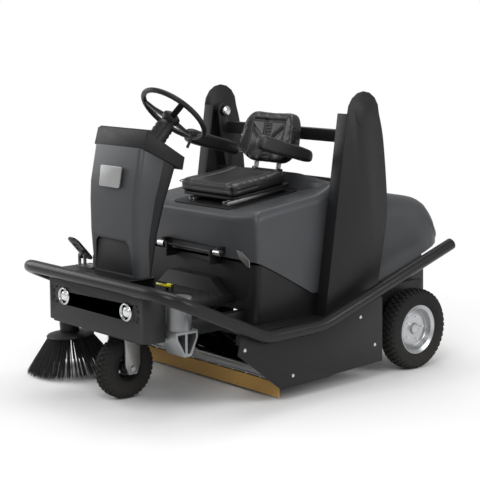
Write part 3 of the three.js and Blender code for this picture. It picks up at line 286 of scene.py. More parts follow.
GREY = Finish("grey_moulded_cover", "grey_shell", (0.062, 0.064, 0.069), 0.36,
              grain_scale=1100.0, grain_depth=0.1)
BLACK = Finish("black_powder_coat", "black_paint", (0.011, 0.011, 0.012), 0.42, grain=Grain.PAINTED,
               grain_scale=500.0, grain_depth=0.14, dust=0.06)
TUBE = Finish("black_tube_coat", "black_paint", (0.014, 0.014, 0.015), 0.3, grain=Grain.PAINTED,
              grain_scale=380.0, grain_depth=0.08)
PANEL = Finish("dark_panel_coat", "black_paint", (0.026, 0.025, 0.025), 0.5, grain=Grain.PAINTED,
               grain_scale=520.0, grain_depth=0.14)
PLASTIC = Finish("black_moulding", "black_plastic", (0.010, 0.010, 0.011), 0.5,
                 grain_scale=900.0, grain_depth=0.2)
DEEP = Finish("deep_black", "black_plastic", (0.004, 0.004, 0.004), 0.7)
GRIP = Finish("soft_grip", "black_plastic", (0.013, 0.013, 0.013), 0.4, grain=Grain.LEATHER, grain_scale=900.0,
              grain_depth=0.2)
RUBBER = Finish("tyre_rubber", "rubber", (0.017, 0.017, 0.017), 0.75, grain=Grain.RUBBER, grain_scale=420.0,
                grain_depth=0.25, dust=0.16, shine=0.15)
CHROME = Finish("bright_zinc", "bright_steel", (0.62, 0.63, 0.64), 0.2, 1.0, Grain.BRUSHED, 500.0, 0.05)
RIM = Finish("silver_rim", "bright_steel", (0.5, 0.51, 0.52), 0.3, 1.0, Grain.PAINTED, 420.0, 0.06, dust=0.15)
ZINC = Finish("galvanised_steel", "galvanised", (0.36, 0.365, 0.36), 0.42, 1.0, Grain.BRUSHED, 300.0, 0.15,
              tint_spread=0.25)
CAST = Finish("cast_alloy", "cast_metal", (0.28, 0.285, 0.29), 0.45, 1.0, Grain.CAST, 320.0, 0.4,
              tint_spread=0.25)
VINYL = Finish("seat_vinyl", "seat_vinyl", (0.008, 0.008, 0.008), 0.34, grain=Grain.LEATHER, grain_scale=420.0,
               grain_depth=0.22)
BRISTLE = Finish("bristle_fibre", "bristle", (0.012, 0.012, 0.012), 0.55, grain_depth=0.1)
TAN = Finish("tan_rubber", "tan_rubber", (0.30, 0.175, 0.05), 0.6, grain=Grain.RUBBER, grain_scale=300.0,
             tint_spread=0.2)
YELLOW = Finish("signal_yellow", "signal_yellow", (0.62, 0.58, 0.02), 0.4)
LENS = Finish("lamp_lens", "bright_steel", (0.78, 0.79, 0.8), 0.12, 0.6, Grain.PAINTED, 220.0, 0.25)


# ----------------------------------------------------------------------------------------------
# Making pieces
# ----------------------------------------------------------------------------------------------
def object_from(name: str, bm: bmesh.types.BMesh, smooth: float = 35.0) -> bpy.types.Object:
    """An object from a bmesh, with soft shading up to an angle.

    Args:
        name: The object's name.
        bm: The mesh, which is freed.
        smooth: Edges sharper than this many degrees stay sharp.

    Returns:
        The object, at the origin.
    """
    mesh = bpy.data.meshes.new(name)
    bm.to_mesh(mesh)
    bm.free()
    made = bpy.data.objects.new(name, mesh)
    bpy.context.scene.collection.objects.link(made)
    return shaded(made, smooth)


def shaded(piece: bpy.types.Object, smooth: float = 35.0) -> bpy.types.Object:
    """Shades a piece smooth between faces that meet gently.

    Args:
        piece: A mesh object.
        smooth: Edges sharper than this many degrees stay sharp.

    Returns:
        The same object.
    """
    mesh = piece.data
    if "custom_normal" in mesh.attributes:
        mesh.attributes.remove(mesh.attributes["custom_normal"])
    mesh.shade_smooth()
    mesh.set_sharp_from_angle(angle=math.radians(smooth))
    return piece


def settled(piece: bpy.types.Object) -> bpy.types.Object:
    """Turns a piece's modifiers into plain mesh.

    Args:
        piece: An object with modifiers.

    Returns:
        The same object without them.
    """
    bpy.context.view_layer.update()
    graph = bpy.context.evaluated_depsgraph_get()
    mesh = bpy.data.meshes.new_from_object(piece.evaluated_get(graph))
    piece.modifiers.clear()
    piece.data = mesh
    return piece


def fitted(piece: bpy.types.Object, body: str, finish: Finish, *nodes: str) -> bpy.types.Object:
    """Dresses a piece and lets it ride on its body.

    Args:
        piece: The finished mesh object.
        body: The body that it moves with.
        finish: Its finish.
        nodes: The CAD nodes that it stands for.

    Returns:
        The same object.
    """
    piece.data.materials.clear()
    piece.data.materials.append(finish.material())
    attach(piece, body)
    if nodes:
        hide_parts(*nodes)
    LOG.info("%s on %s: %d faces", piece.name, body, len(piece.data.polygons))
    return piece


def outward(bm: bmesh.types.BMesh) -> bmesh.types.BMesh:
    """Merges doubles and turns every face outwards.

    Args:
        bm: A closed mesh.

    Returns:
        The same mesh.
    """
    bmesh.ops.remove_doubles(bm, verts=bm.verts[:], dist=1e-6)
    bmesh.ops.recalc_face_normals(bm, faces=bm.faces[:])
    return bm


def turned(profile: Sequence[Pair], place: Matrix, segments: int = 64) -> bmesh.types.BMesh:
    """A closed body turned about local Z.

    Args:
        profile: (radius, height) pairs in millimetres, which start and end on the axis or close on themselves.
        place: From local millimetres to the frame.
        segments: Number of sides.

    Returns:
        The mesh.
    """
    bm = bmesh.new()
    rings = []
    for radius, height in profile:
        if radius < 1e-6:
            rings.append([bm.verts.new((0, 0, height))])
            continue
        turn = [2 * math.pi * k / segments for k in range(segments)]
        rings.append([bm.verts.new((radius * math.cos(a), radius * math.sin(a), height)) for a in turn])
    for low, high in zip(rings, rings[1:]):
        for k in range(segments):
            n = (k + 1) % segments
            corners = [low[k % len(low)], low[n % len(low)], high[n % len(high)], high[k % len(high)]]
            unique = list(dict.fromkeys(corners))
            if len(unique) > 2:
                bm.faces.new(unique)
    bm.transform(place)
    return outward(bm)


def swept(path: Sequence[Vector], radius: float, sides: int = 20) -> bmesh.types.BMesh:
    """A round bar along a path, with closed, slightly domed ends.

    Args:
        path: Points in the frame's metres.
        radius: Radius in metres.
        sides: Number of sides.

    Returns:
        The mesh.
    """
    bm = bmesh.new()
    rings = []
    upright = abs((path[1] - path[0]).normalized().z) > 0.9
    normal = Vector((0, 1, 0)) if upright else Vector((0, 0, 1))
    for k, point in enumerate(path):
        ahead = (path[min(k + 1, len(path) - 1)] - path[max(k - 1, 0)]).normalized()
        normal = (normal - ahead * normal.dot(ahead)).normalized()
        side = ahead.cross(normal)
        spokes = [normal * math.cos(a) + side * math.sin(a)
                  for a in (2 * math.pi * i / sides for i in range(sides))]
        rings.append([bm.verts.new(point + spoke * radius) for spoke in spokes])
    for low, high in zip(rings, rings[1:]):
        for i in range(sides):
            bm.faces.new((low[i], low[(i + 1) % sides], high[(i + 1) % sides], high[i]))
    for ring, way in ((rings[0], path[0] - path[1]), (rings[-1], path[-1] - path[-2])):
        crown = bm.verts.new(sum((v.co for v in ring), Vector()) / sides + way.normalized() * radius * 0.2)
        for i in range(sides):
            bm.faces.new((ring[i], ring[(i + 1) % sides], crown))
    return outward(bm)


def prism(form: Sequence[Pair], low: float, high: float, place: Matrix, axis: str = "Z",
          bevel: float = 0.0, segments: int = 3) -> bmesh.types.BMesh:
    """A flat form pushed out along an axis, with round edges.

    Args:
        form: The outline in millimetres: (y, z) for X, (x, z) for Y, (x, y) for Z.
        low: Where it starts on the axis.
        high: Where it ends.
        place: From local millimetres to the frame.
        axis: X, Y or Z.
        bevel: Radius of its edges in millimetres.
        segments: Steps in each round edge.

    Returns:
        The mesh.
    """
    lift = {"X": lambda u, v, w: (w, u, v), "Y": lambda u, v, w: (u, w, v), "Z": lambda u, v, w: (u, v, w)}[axis]
    bm = bmesh.new()
    bottom = [bm.verts.new(lift(u, v, low)) for u, v in form]
    top = [bm.verts.new(lift(u, v, high)) for u, v in form]
    bm.faces.new(bottom[::-1])
    bm.faces.new(top)
    for k in range(len(form)):
        n = (k + 1) % len(form)
        bm.faces.new((bottom[k], bottom[n], top[n], top[k]))
    bmesh.ops.recalc_face_normals(bm, faces=bm.faces[:])
    if bevel:
        sharp = [e for e in bm.edges if e.calc_face_angle(0.0) > math.radians(25)]
        bmesh.ops.bevel(bm, geom=sharp, offset=bevel, segments=segments, affect="EDGES", profile=0.5,
                        clamp_overlap=True)
    bm.transform(place)
    return outward(bm)


def rounded_form(form: Sequence[Pair], radius: float, steps: int = 6) -> list[Pair]:
    """A closed outline with every corner rounded.

    Args:
        form: The corners in order.
        radius: Largest corner radius.
        steps: Steps in each corner.

    Returns:
        The new outline.
    """
    out: list[Pair] = []
    for k, corner in enumerate(form):
        here = Vector(corner)
        before = Vector(form[k - 1]) - here
        after = Vector(form[(k + 1) % len(form)]) - here
        reach = min(radius, before.length * 0.45, after.length * 0.45)
        start, end = here + before.normalized() * reach, here + after.normalized() * reach
        for s in range(steps + 1):
            t = s / steps
            point = start * (1 - t) ** 2 + here * 2 * t * (1 - t) + end * t ** 2
            out.append((point.x, point.y))
    return out


def merged(*parts: bmesh.types.BMesh) -> bmesh.types.BMesh:
    """Several meshes in one.

    Args:
        parts: The meshes; all but the first are freed.

    Returns:
        The first one with the others added.
    """
    first = parts[0]
    for other in parts[1:]:
        keep = bpy.data.meshes.new("passing")
        other.to_mesh(keep)
        other.free()
        first.from_mesh(keep)
        bpy.data.meshes.remove(keep)
    return first


def eased(node: str, body: str, finish: Finish, width: float = 1.2, segments: int = 2,
          smooth: float = 32.0) -> bpy.types.Object:
    """A CAD node's own shape with its hard edges eased.

    Args:
        node: The CAD node.
        body: The body that it rides on.
        finish: Its finish.
        width: Edge radius in millimetres.
        segments: Steps in each edge.
        smooth: Edges sharper than this many degrees stay sharp.

    Returns:
        The piece that stands for the node.
    """
    bm = bmesh.new()
    bm.from_mesh(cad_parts[node].data)
    bmesh.ops.remove_doubles(bm, verts=bm.verts[:], dist=3e-5)
    bmesh.ops.dissolve_limit(bm, angle_limit=math.radians(0.6), verts=bm.verts[:], edges=bm.edges[:])
    piece = object_from(f"{node}_eased", bm, smooth)
    ease = piece.modifiers.new("ease", "BEVEL")
    ease.width = width * MM
    ease.segments = segments
    ease.limit_method = "ANGLE"
    ease.angle_limit = math.radians(38)
    ease.use_clamp_overlap = False
    ease.miter_outer = "MITER_ARC"
    settled(piece)
    return fitted(shaded(piece, smooth), body, finish, node)


# ----------------------------------------------------------------------------------------------
# Repeats, made with Geometry Nodes
# ----------------------------------------------------------------------------------------------
@dataclass(frozen=True)
class Stand:
    """Where one repeat stands: its foot, the way it points and the way its width runs."""

    foot: Vector
    facing: Vector
    run: Vector = Vector((1.0, 0.0, 0.0))


class Repeat:
    """A small shape set on many stands by a node tree, and turned into one plain mesh."""

    def __init__(self, name: str, shape: bmesh.types.BMesh) -> None:
        """Keeps the shape, which stands on its origin and points along Z, in metres.

        Args:
            name: The piece's name.
            shape: The shape; it is freed.
        """
        self.name = name
        self.shape = object_from(f"{name}_shape", shape, 30.0)

    def _tree(self) -> bpy.types.NodeTree:
        """Builds the tree that sets the shape on every stand.

        Returns:
            The node tree with inputs Shape, Width, Run, Height, Spread, Seed and Finish.
        """
        tree = bpy.data.node_groups.new(f"set_{self.name}", "GeometryNodeTree")
        sockets = tree.interface
        sockets.new_socket("Stands", in_out="INPUT", socket_type="NodeSocketGeometry")
        for label, kind in (("Shape", "Object"), ("Width", "Float"), ("Run", "Float"), ("Height", "Float"),
                            ("Spread", "Float"), ("Seed", "Int"), ("Finish", "Material")):
            sockets.new_socket(label, in_out="INPUT", socket_type=f"NodeSocket{kind}")
        sockets.new_socket("Pieces", in_out="OUTPUT", socket_type="NodeSocketGeometry")
        nodes, links = tree.nodes, tree.links
        given, result = nodes.new("NodeGroupInput"), nodes.new("NodeGroupOutput")
        points = nodes.new("GeometryNodeMeshToPoints")
        links.new(given.outputs["Stands"], points.inputs["Mesh"])
        ways = []
        for label in ("facing", "run"):
            read = nodes.new("GeometryNodeInputNamedAttribute")
            read.data_type = "FLOAT_VECTOR"
            read.inputs["Name"].default_value = label
            ways.append(read.outputs["Attribute"])
        stand_up = nodes.new("FunctionNodeAlignRotationToVector")
        stand_up.axis = "Z"
        links.new(ways[0], stand_up.inputs["Vector"])
        turn = nodes.new("FunctionNodeAlignRotationToVector")
        turn.axis = "X"
        turn.pivot_axis = "Z"
        links.new(stand_up.outputs["Rotation"], turn.inputs["Rotation"])
        links.new(ways[1], turn.inputs["Vector"])
        size = nodes.new("ShaderNodeCombineXYZ")
        for label, socket in (("Run", "X"), ("Width", "Y"), ("Height", "Z")):
            links.new(given.outputs[label], size.inputs[socket])
        least = nodes.new("ShaderNodeMath")
        least.operation = "SUBTRACT"
        least.inputs[0].default_value = 1.0
        links.new(given.outputs["Spread"], least.inputs[1])
        chance = nodes.new("FunctionNodeRandomValue")
        chance.data_type = "FLOAT"
        links.new(least.outputs["Value"], chance.inputs[2])
        chance.inputs[3].default_value = 1.0
        links.new(given.outputs["Seed"], chance.inputs["Seed"])
        scale = nodes.new("ShaderNodeVectorMath")
        scale.operation = "SCALE"
        links.new(size.outputs["Vector"], scale.inputs[0])
        links.new(chance.outputs[1], scale.inputs["Scale"])
        shape = nodes.new("GeometryNodeObjectInfo")
        links.new(given.outputs["Shape"], shape.inputs["Object"])
        setter = nodes.new("GeometryNodeInstanceOnPoints")
        links.new(points.outputs["Points"], setter.inputs["Points"])
        links.new(shape.outputs["Geometry"], setter.inputs["Instance"])
        links.new(turn.outputs["Rotation"], setter.inputs["Rotation"])
        links.new(scale.outputs["Vector"], setter.inputs["Scale"])
        real = nodes.new("GeometryNodeRealizeInstances")
        links.new(setter.outputs["Instances"], real.inputs["Geometry"])
        dress = nodes.new("GeometryNodeSetMaterial")
        links.new(real.outputs["Geometry"], dress.inputs["Geometry"])
        links.new(given.outputs["Finish"], dress.inputs["Material"])
        links.new(dress.outputs["Geometry"], result.inputs["Pieces"])
        return tree

    def build(self, stands: Sequence[Stand], size: Point, body: str, finish: Finish, spread: float = 0.0,
              seed: int = 7, nodes: Sequence[str] = ()) -> bpy.types.Object:
        """Sets the shape on the stands.

        Args:
            stands: Where the repeats stand.
            size: Run, width and height factors of the shape.
            body: The body that they ride on.
            finish: Their finish.
            spread: Share by which sizes differ.
            seed: Seed of that difference.
            nodes: CAD nodes that they stand for.

        Returns:
            The finished piece.
        """
        mesh = bpy.data.meshes.new(self.name)
        mesh.from_pydata([s.foot for s in stands], [], [])
        for label in ("facing", "run"):
            ways = mesh.attributes.new(label, "FLOAT_VECTOR", "POINT")
            ways.data.foreach_set("vector", [c for s in stands for c in getattr(s, label)])
        piece = bpy.data.objects.new(self.name, mesh)
        bpy.context.scene.collection.objects.link(piece)
        tree = self._tree()
        setter = piece.modifiers.new("set", "NODES")
        setter.node_group = tree
        given = {"Shape": self.shape, "Run": size[0], "Width": size[1], "Height": size[2], "Spread": spread,
                 "Seed": seed, "Finish": finish.material()}
        for item in tree.interface.items_tree:
            if item.item_type == "SOCKET" and item.in_out == "INPUT" and item.name in given:
                setter[item.identifier] = given[item.name]
        settled(piece)
        bpy.data.objects.remove(self.shape)
        return fitted(shaded(piece, 30.0), body, finish, *nodes)


def hex_bolt() -> bmesh.types.BMesh:
    """A hexagon bolt head on its washer, one unit across its washer."""
    washer = turned([(0, 0), (0.5, 0), (0.5, 0.07), (0.47, 0.1), (0, 0.1)], Matrix.Identity(4), 16)
    head = turned([(0, 0.09), (0.33, 0.09), (0.34, 0.34), (0.29, 0.4), (0, 0.4)], Matrix.Identity(4), 6)
    return merged(washer, head)


def bristle_shape() -> bmesh.types.BMesh:
    """One tapering bristle, one unit long and one unit across."""
    return turned([(0, 0), (0.5, 0), (0.42, 0.6), (0.3, 1.0), (0, 1.0)], Matrix.Identity(4), 5)


def lug_shape() -> bmesh.types.BMesh:
    """A block with sloping flanks, one unit long, wide and high."""
    bm = bmesh.new()
    low = [bm.verts.new((x, y, -0.3)) for x, y in ((-0.5, -0.5), (0.5, -0.5), (0.5, 0.5), (-0.5, 0.5))]
    high = [bm.verts.new((x, y, 1.0)) for x, y in ((-0.42, -0.38), (0.42, -0.38), (0.42, 0.38), (-0.42, 0.38))]
    bm.faces.new(low[::-1])
    bm.faces.new(high)
    for k in range(4):
        n = (k + 1) % 4
        bm.faces.new((low[k], low[n], high[n], high[k]))
    return outward(bm)


def lozenge_shape() -> bmesh.types.BMesh:
    """A raised lozenge of tread plate, one unit long, wide and high."""
    bm = bmesh.new()
    rim = [bm.verts.new((0.5 * math.cos(a), 0.5 * math.sin(a), -0.2)) for a in
           (2 * math.pi * k / 8 for k in range(8))]
    top = [bm.verts.new((v.co.x * 0.6, v.co.y * 0.6, 1.0)) for v in rim]
    bm.faces.new(rim[::-1])
    bm.faces.new(top)
    for k in range(8):
        n = (k + 1) % 8
        bm.faces.new((rim[k], rim[n], top[n], top[k]))
    return outward(bm)


def lofted(ribs: Sequence[Sequence[Point]], capped: int) -> bmesh.types.BMesh:
    """A skin over ribs, closed at one end only, with its faces outwards.

    Args:
        ribs: Ribs in the machine's millimetres, each with as many points.
        capped: Index of the rib that is closed.

    Returns:
        The skin, in the frame's metres.
    """
    bm = bmesh.new()
    rings = [[bm.verts.new(p) for p in rib] for rib in ribs]
    for near, far in zip(rings, rings[1:]):
        for k in range(len(near) - 1):
            bm.faces.new((near[k], near[k + 1], far[k + 1], far[k]))
    bm.faces.new(rings[capped])
    bm.transform(Matrix.Translation(ORIGIN) @ Matrix.Scale(MM, 4))
    bmesh.ops.recalc_face_normals(bm, faces=bm.faces[:])
    if max(bm.faces, key=lambda f: f.calc_center_median().z).normal.z < 0:
        bmesh.ops.reverse_faces(bm, faces=bm.faces[:])
    return bm


def walled(name: str, skin: bmesh.types.BMesh, thickness: float, smooth: float) -> bpy.types.Object:
    """A skin with a wall added on its inner side.

    Args:
        name: The piece's name.
        skin: The open skin.
        thickness: The wall in millimetres.
        smooth: Edges sharper than this many degrees stay sharp.

    Returns:
        The walled piece.
    """
    made = object_from(name, skin, smooth)
    wall = made.modifiers.new("wall", "SOLIDIFY")
    wall.thickness = thickness * MM
    wall.offset = -1.0
    settled(made)
    return shaded(made, smooth)


# ----------------------------------------------------------------------------------------------
# Sub-assemblies
# ----------------------------------------------------------------------------------------------
class Covers:
    """Sheets, castings and mouldings whose CAD shape is right and only needs its edges eased."""

    def build(self) -> None:
        """Eases and dresses every such node."""
        plain = {
            "chassis": (
                ("chassis_frame", BLACK, 1.0), ("front_panel", PANEL, 1.2), ("foot_deck", BLACK, 1.2),
                ("skirt_left", BLACK, 1.2), ("skirt_right", BLACK, 1.2), ("tower_left", BLACK, 1.4),
                ("tower_right", BLACK, 1.4), ("rear_cover", BLACK, 1.0), ("console_front_shell", GREY, 1.0),
                ("console_back_shell", PLASTIC, 1.0), ("console_access_panel", PANEL, 1.4),
                ("dash_cap", PLASTIC, 3.0),
                ("hydraulic_pump", CAST, 2.0), ("pedal_bracket", ZINC, 0.8), ("engine_block", CAST, 2.0),
                ("muffler", ZINC, 2.0), ("fuel_tank", PLASTIC, 5.0), ("hydraulic_tank", BLACK, 4.0),
                ("battery", PLASTIC, 3.0), ("hood_hinge_rod", BLACK, 0.6), ("body_wall", BLACK, 1.0),
            ),
            "fork": (("steering_fork", ZINC, 1.4), ("wheel_motor", CAST, 2.0)),
            "hood": (("hood_hinge_leaves", BLACK, 0.8), ("seat_rails", ZINC, 0.6)),
            "seat": (("seat_base", BLACK, 1.0),),
            "broom_carrier": (("broom_arm_frame", BLACK, 1.0),),
            "side_brush_carrier": (("side_brush_arm", BLACK, 1.4),),
            "flap": (("flap_holder", ZINC, 0.6), ("flap_strip", TAN, 1.0)),
            "drive_pedal": (("drive_pedal", GRIP, 1.6),),
            "brake_pedal": (("brake_pedal", GRIP, 1.4),),
            "flap_pedal": (("flap_pedal", YELLOW, 1.4),),
            "key": (("ignition_key", PLASTIC, 0.8),),
            "knob": (("program_knob", PLASTIC, 1.0),),
            "horn": (("horn_button", YELLOW, 1.2),),
            "hopper": (("lift_frame", BLACK, 1.4), ("hopper_bin", BLACK, 1.0), ("dust_filter", TAN, 3.0)),
            "broom_roller": (("broom_core", ZINC, 0.8),),
        }
        for body, rows in plain.items():
            for node, finish, width in rows:
                eased(node, body, finish, width)


@dataclass
class BumperTube:
    """The bent tube round the machine."""

    radius: float = 30.0
    corners: tuple[Point, ...] = ((589, 922, 634), (589, 0, 340), (589, -360, 333), (589, -930, 592))
    reaches: tuple[float, ...] = (0.0, 60.0, 60.0, 150.0)

    def path(self) -> list[Vector]:
        """The centre line, from one rear end round the front to the other.

        Returns:
            Points in the frame's metres.
        """
        left = [Vector(c) for c in self.corners]
        points = left + [Vector((-p.x, p.y, p.z)) for p in reversed(left)]
        reaches = list(self.reaches) + list(reversed(self.reaches))
        line = [points[0]]
        for k in range(1, len(points) - 1):
            here = points[k]
            start = here + (points[k - 1] - here).normalized() * reaches[k]
            end = here + (points[k + 1] - here).normalized() * reaches[k]
            for s in range(17):
                t = s / 16
                line.append(start * (1 - t) ** 2 + here * 2 * t * (1 - t) + end * t ** 2)
        line.append(points[-1])
        return [spot(*p) for p in line]

    def build(self) -> None:
        """Makes the tube."""
        tube = object_from("bumper_tube_bent", swept(self.path(), self.radius * MM, 32), 50.0)
        fitted(tube, "chassis", TUBE, "bumper_tube")


@dataclass
class Wheel:
    """A pneumatic tyre on its rim. Its local Z runs along the axle, outwards."""

    name: str
    body: str
    centre: Point
    radius: float
    width: float
    rim_radius: float
    rim_finish: Finish
    outward: int
    lugs: int = 44
    bolts: int = 5
    bolt_ring: float = 0.5

    def _place(self) -> Matrix:
        """From wheel millimetres to the frame."""
        turn = Matrix.Rotation(math.radians(90 * self.outward), 4, "Y")
        return Matrix.Translation(spot(*self.centre)) @ turn @ Matrix.Scale(MM, 4)

    def _carcass(self) -> bmesh.types.BMesh:
        """The tyre without its tread blocks."""
        r, h, f = self.radius - 7, self.width / 2, self.rim_radius
        side = [(f + 1, h * 0.70), (f + 6, h * 0.80), (f + 12, h * 0.88), (f + (r - f) * 0.34, h * 0.975),
                (f + (r - f) * 0.40, h * 1.0), (f + (r - f) * 0.46, h * 0.985), (f + (r - f) * 0.62, h * 0.98),
                (f + (r - f) * 0.80, h * 0.93), (r - 8, h * 0.82), (r - 2, h * 0.62), (r, h * 0.34), (r, 0)]
        profile = side + [(a, -b) for a, b in reversed(side[:-1])]
        return turned(profile + [(f + 1, -h * 0.7), (f + 1, h * 0.7)], self._place(), 96)

    def _tread(self) -> list[Stand]:
        """Tread blocks in staggered rows, with shoulder blocks that reach down the side."""
        place = self._place()
        turn = place.to_3x3().normalized()
        stands = []
        rows = ((-0.78, 0.5, 0.74), (-0.27, 0.0, 0.0), (0.27, 0.5, 0.0), (0.78, 0.0, 0.74))
        for across, shift, lean in rows:
            for k in range(self.lugs):
                a = 2 * math.pi * (k + shift) / self.lugs
                out = Vector((math.cos(a), math.sin(a), 0))
                drop = 8.0 if abs(across) < 0.5 else 15.0
                foot = out * (self.radius - drop) + Vector((0, 0, across * self.width / 2 * 0.86))
                tilt = math.copysign(lean, across) if lean else 0.0
                facing = out * math.cos(tilt) + Vector((0, 0, math.sin(tilt)))
                stands.append(Stand(place @ foot, turn @ facing, turn @ Vector((-math.sin(a), math.cos(a), 0))))
        return stands

    def _rim(self) -> bmesh.types.BMesh:
        """The dished rim with its hub."""
        f, h = self.rim_radius, self.width * 0.36
        profile = [
            (0, h * 0.62), (20, h * 0.62), (26, h * 0.56), (30, 9), (f * 0.36, 7), (f * 0.48, 10), (f * 0.66, 10),
            (f * 0.74, 4), (f * 0.80, 1), (f * 0.83, 6), (f * 0.86, h * 0.8), (f * 0.93, h * 0.94),
            (f * 0.99, h * 1.06), (f * 1.02, h * 1.04), (f * 1.0, h * 0.9), (f * 0.95, h * 0.6), (f * 0.93, -h * 0.6), (f, -h),
            (f * 0.9, -h), (f * 0.84, -h * 0.5), (f * 0.80, -6), (f * 0.5, -2), (34, -4), (30, -h * 0.6),
            (0, -h * 0.6),
        ]
        return turned(profile, self._place(), 96)

    def build(self) -> None:
        """Makes tyre, tread, rim and wheel bolts."""
        fitted(object_from(f"{self.name}_carcass", self._carcass(), 60), self.body, RUBBER, f"{self.name}_tyre"
               if self.name == "front" else f"rear_tyre_{self.name.split('_')[1]}")
        pitch = 2 * math.pi * self.radius / self.lugs
        Repeat(f"{self.name}_tread", lug_shape()).build(
            self._tread(), (pitch * 0.62 * MM, self.width * 0.22 * MM, 8 * MM), self.body, RUBBER)
        fitted(object_from(f"{self.name}_disc", self._rim(), 40), self.body, self.rim_finish, "front_rim"
               if self.name == "front" else f"rear_rim_{self.name.split('_')[1]}")
        place = self._place()
        turn = place.to_3x3().normalized()
        stands = []
        for k in range(self.bolts):
            a = 2 * math.pi * (k + 0.3) / self.bolts
            foot = Vector((math.cos(a), math.sin(a), 0)) * self.rim_radius * self.bolt_ring + Vector((0, 0, 9))
            stands.append(Stand(place @ foot, turn @ Vector((0, 0, 1))))
        size = 15 * MM if self.name == "front" else 19 * MM
        Repeat(f"{self.name}_wheel_bolts", hex_bolt()).build(stands, (size, size, size * 1.2), self.body, CHROME)


@dataclass
class Steering:
    """Steering wheel, its boss and the boot over the column."""

    hub: Point = (0, -428, 1331)
    tilt: float = 43.4
    rim: float = 170.0
    grip: float = 13.0
    rounds: int = 96

    def _rim(self, place: Matrix) -> bmesh.types.BMesh:
        """The grip ring with finger waves on its lower side."""
        bm = bmesh.new()
        sides = 20
        rings = []
        for k in range(self.rounds):
            a = 2 * math.pi * k / self.rounds
            ring = []
            for i in range(sides):
                b = 2 * math.pi * i / sides
                wave = 1.0 - 0.07 * max(0.0, -math.sin(b)) * (0.5 + 0.5 * math.cos(a * 36))
                reach = self.grip * wave
                r = self.rim + reach * math.cos(b)
                ring.append(bm.verts.new((r * math.cos(a), r * math.sin(a), reach * math.sin(b))))
            rings.append(ring)
        for k, ring in enumerate(rings):
            ahead = rings[(k + 1) % self.rounds]
            for i in range(sides):
                bm.faces.new((ring[i], ahead[i], ahead[(i + 1) % sides], ring[(i + 1) % sides]))
        bm.transform(place)
        return outward(bm)

    def build(self) -> None:
        """Makes the wheel and the boot."""
        place = seating(*self.hub, -self.tilt)
        parts = [self._rim(place)]
        parts.append(turned([(0, -50), (34, -50), (42, -40), (46, -30), (44, -16), (34, -8), (14, -5), (0, -5)],
                            place, 48))
        for angle in (90, 210, 330):
            turn = Matrix.Rotation(math.radians(angle), 4, "Z")
            spoke = prism(rounded_form([(26, -38), (100, -24), (164, -7), (164, 5), (96, -11), (26, -18)], 12),
                          -15, 15, place @ turn, "Y", 3.5)
            parts.append(spoke)
        fitted(object_from("steering_wheel_grip", merged(*parts), 45), "steering_wheel", GRIP, "steering_wheel")
        boot = [(0, -236)] + [(49 - (k % 2) * 4 - k * 0.35, -236 + k * 12) for k in range(13)]
        boot += [(42, -78), (40, -66), (34, -58), (0, -56)]
        fitted(object_from("steering_boot", turned(boot, place, 56), 50), "chassis", GRIP, "steering_column")


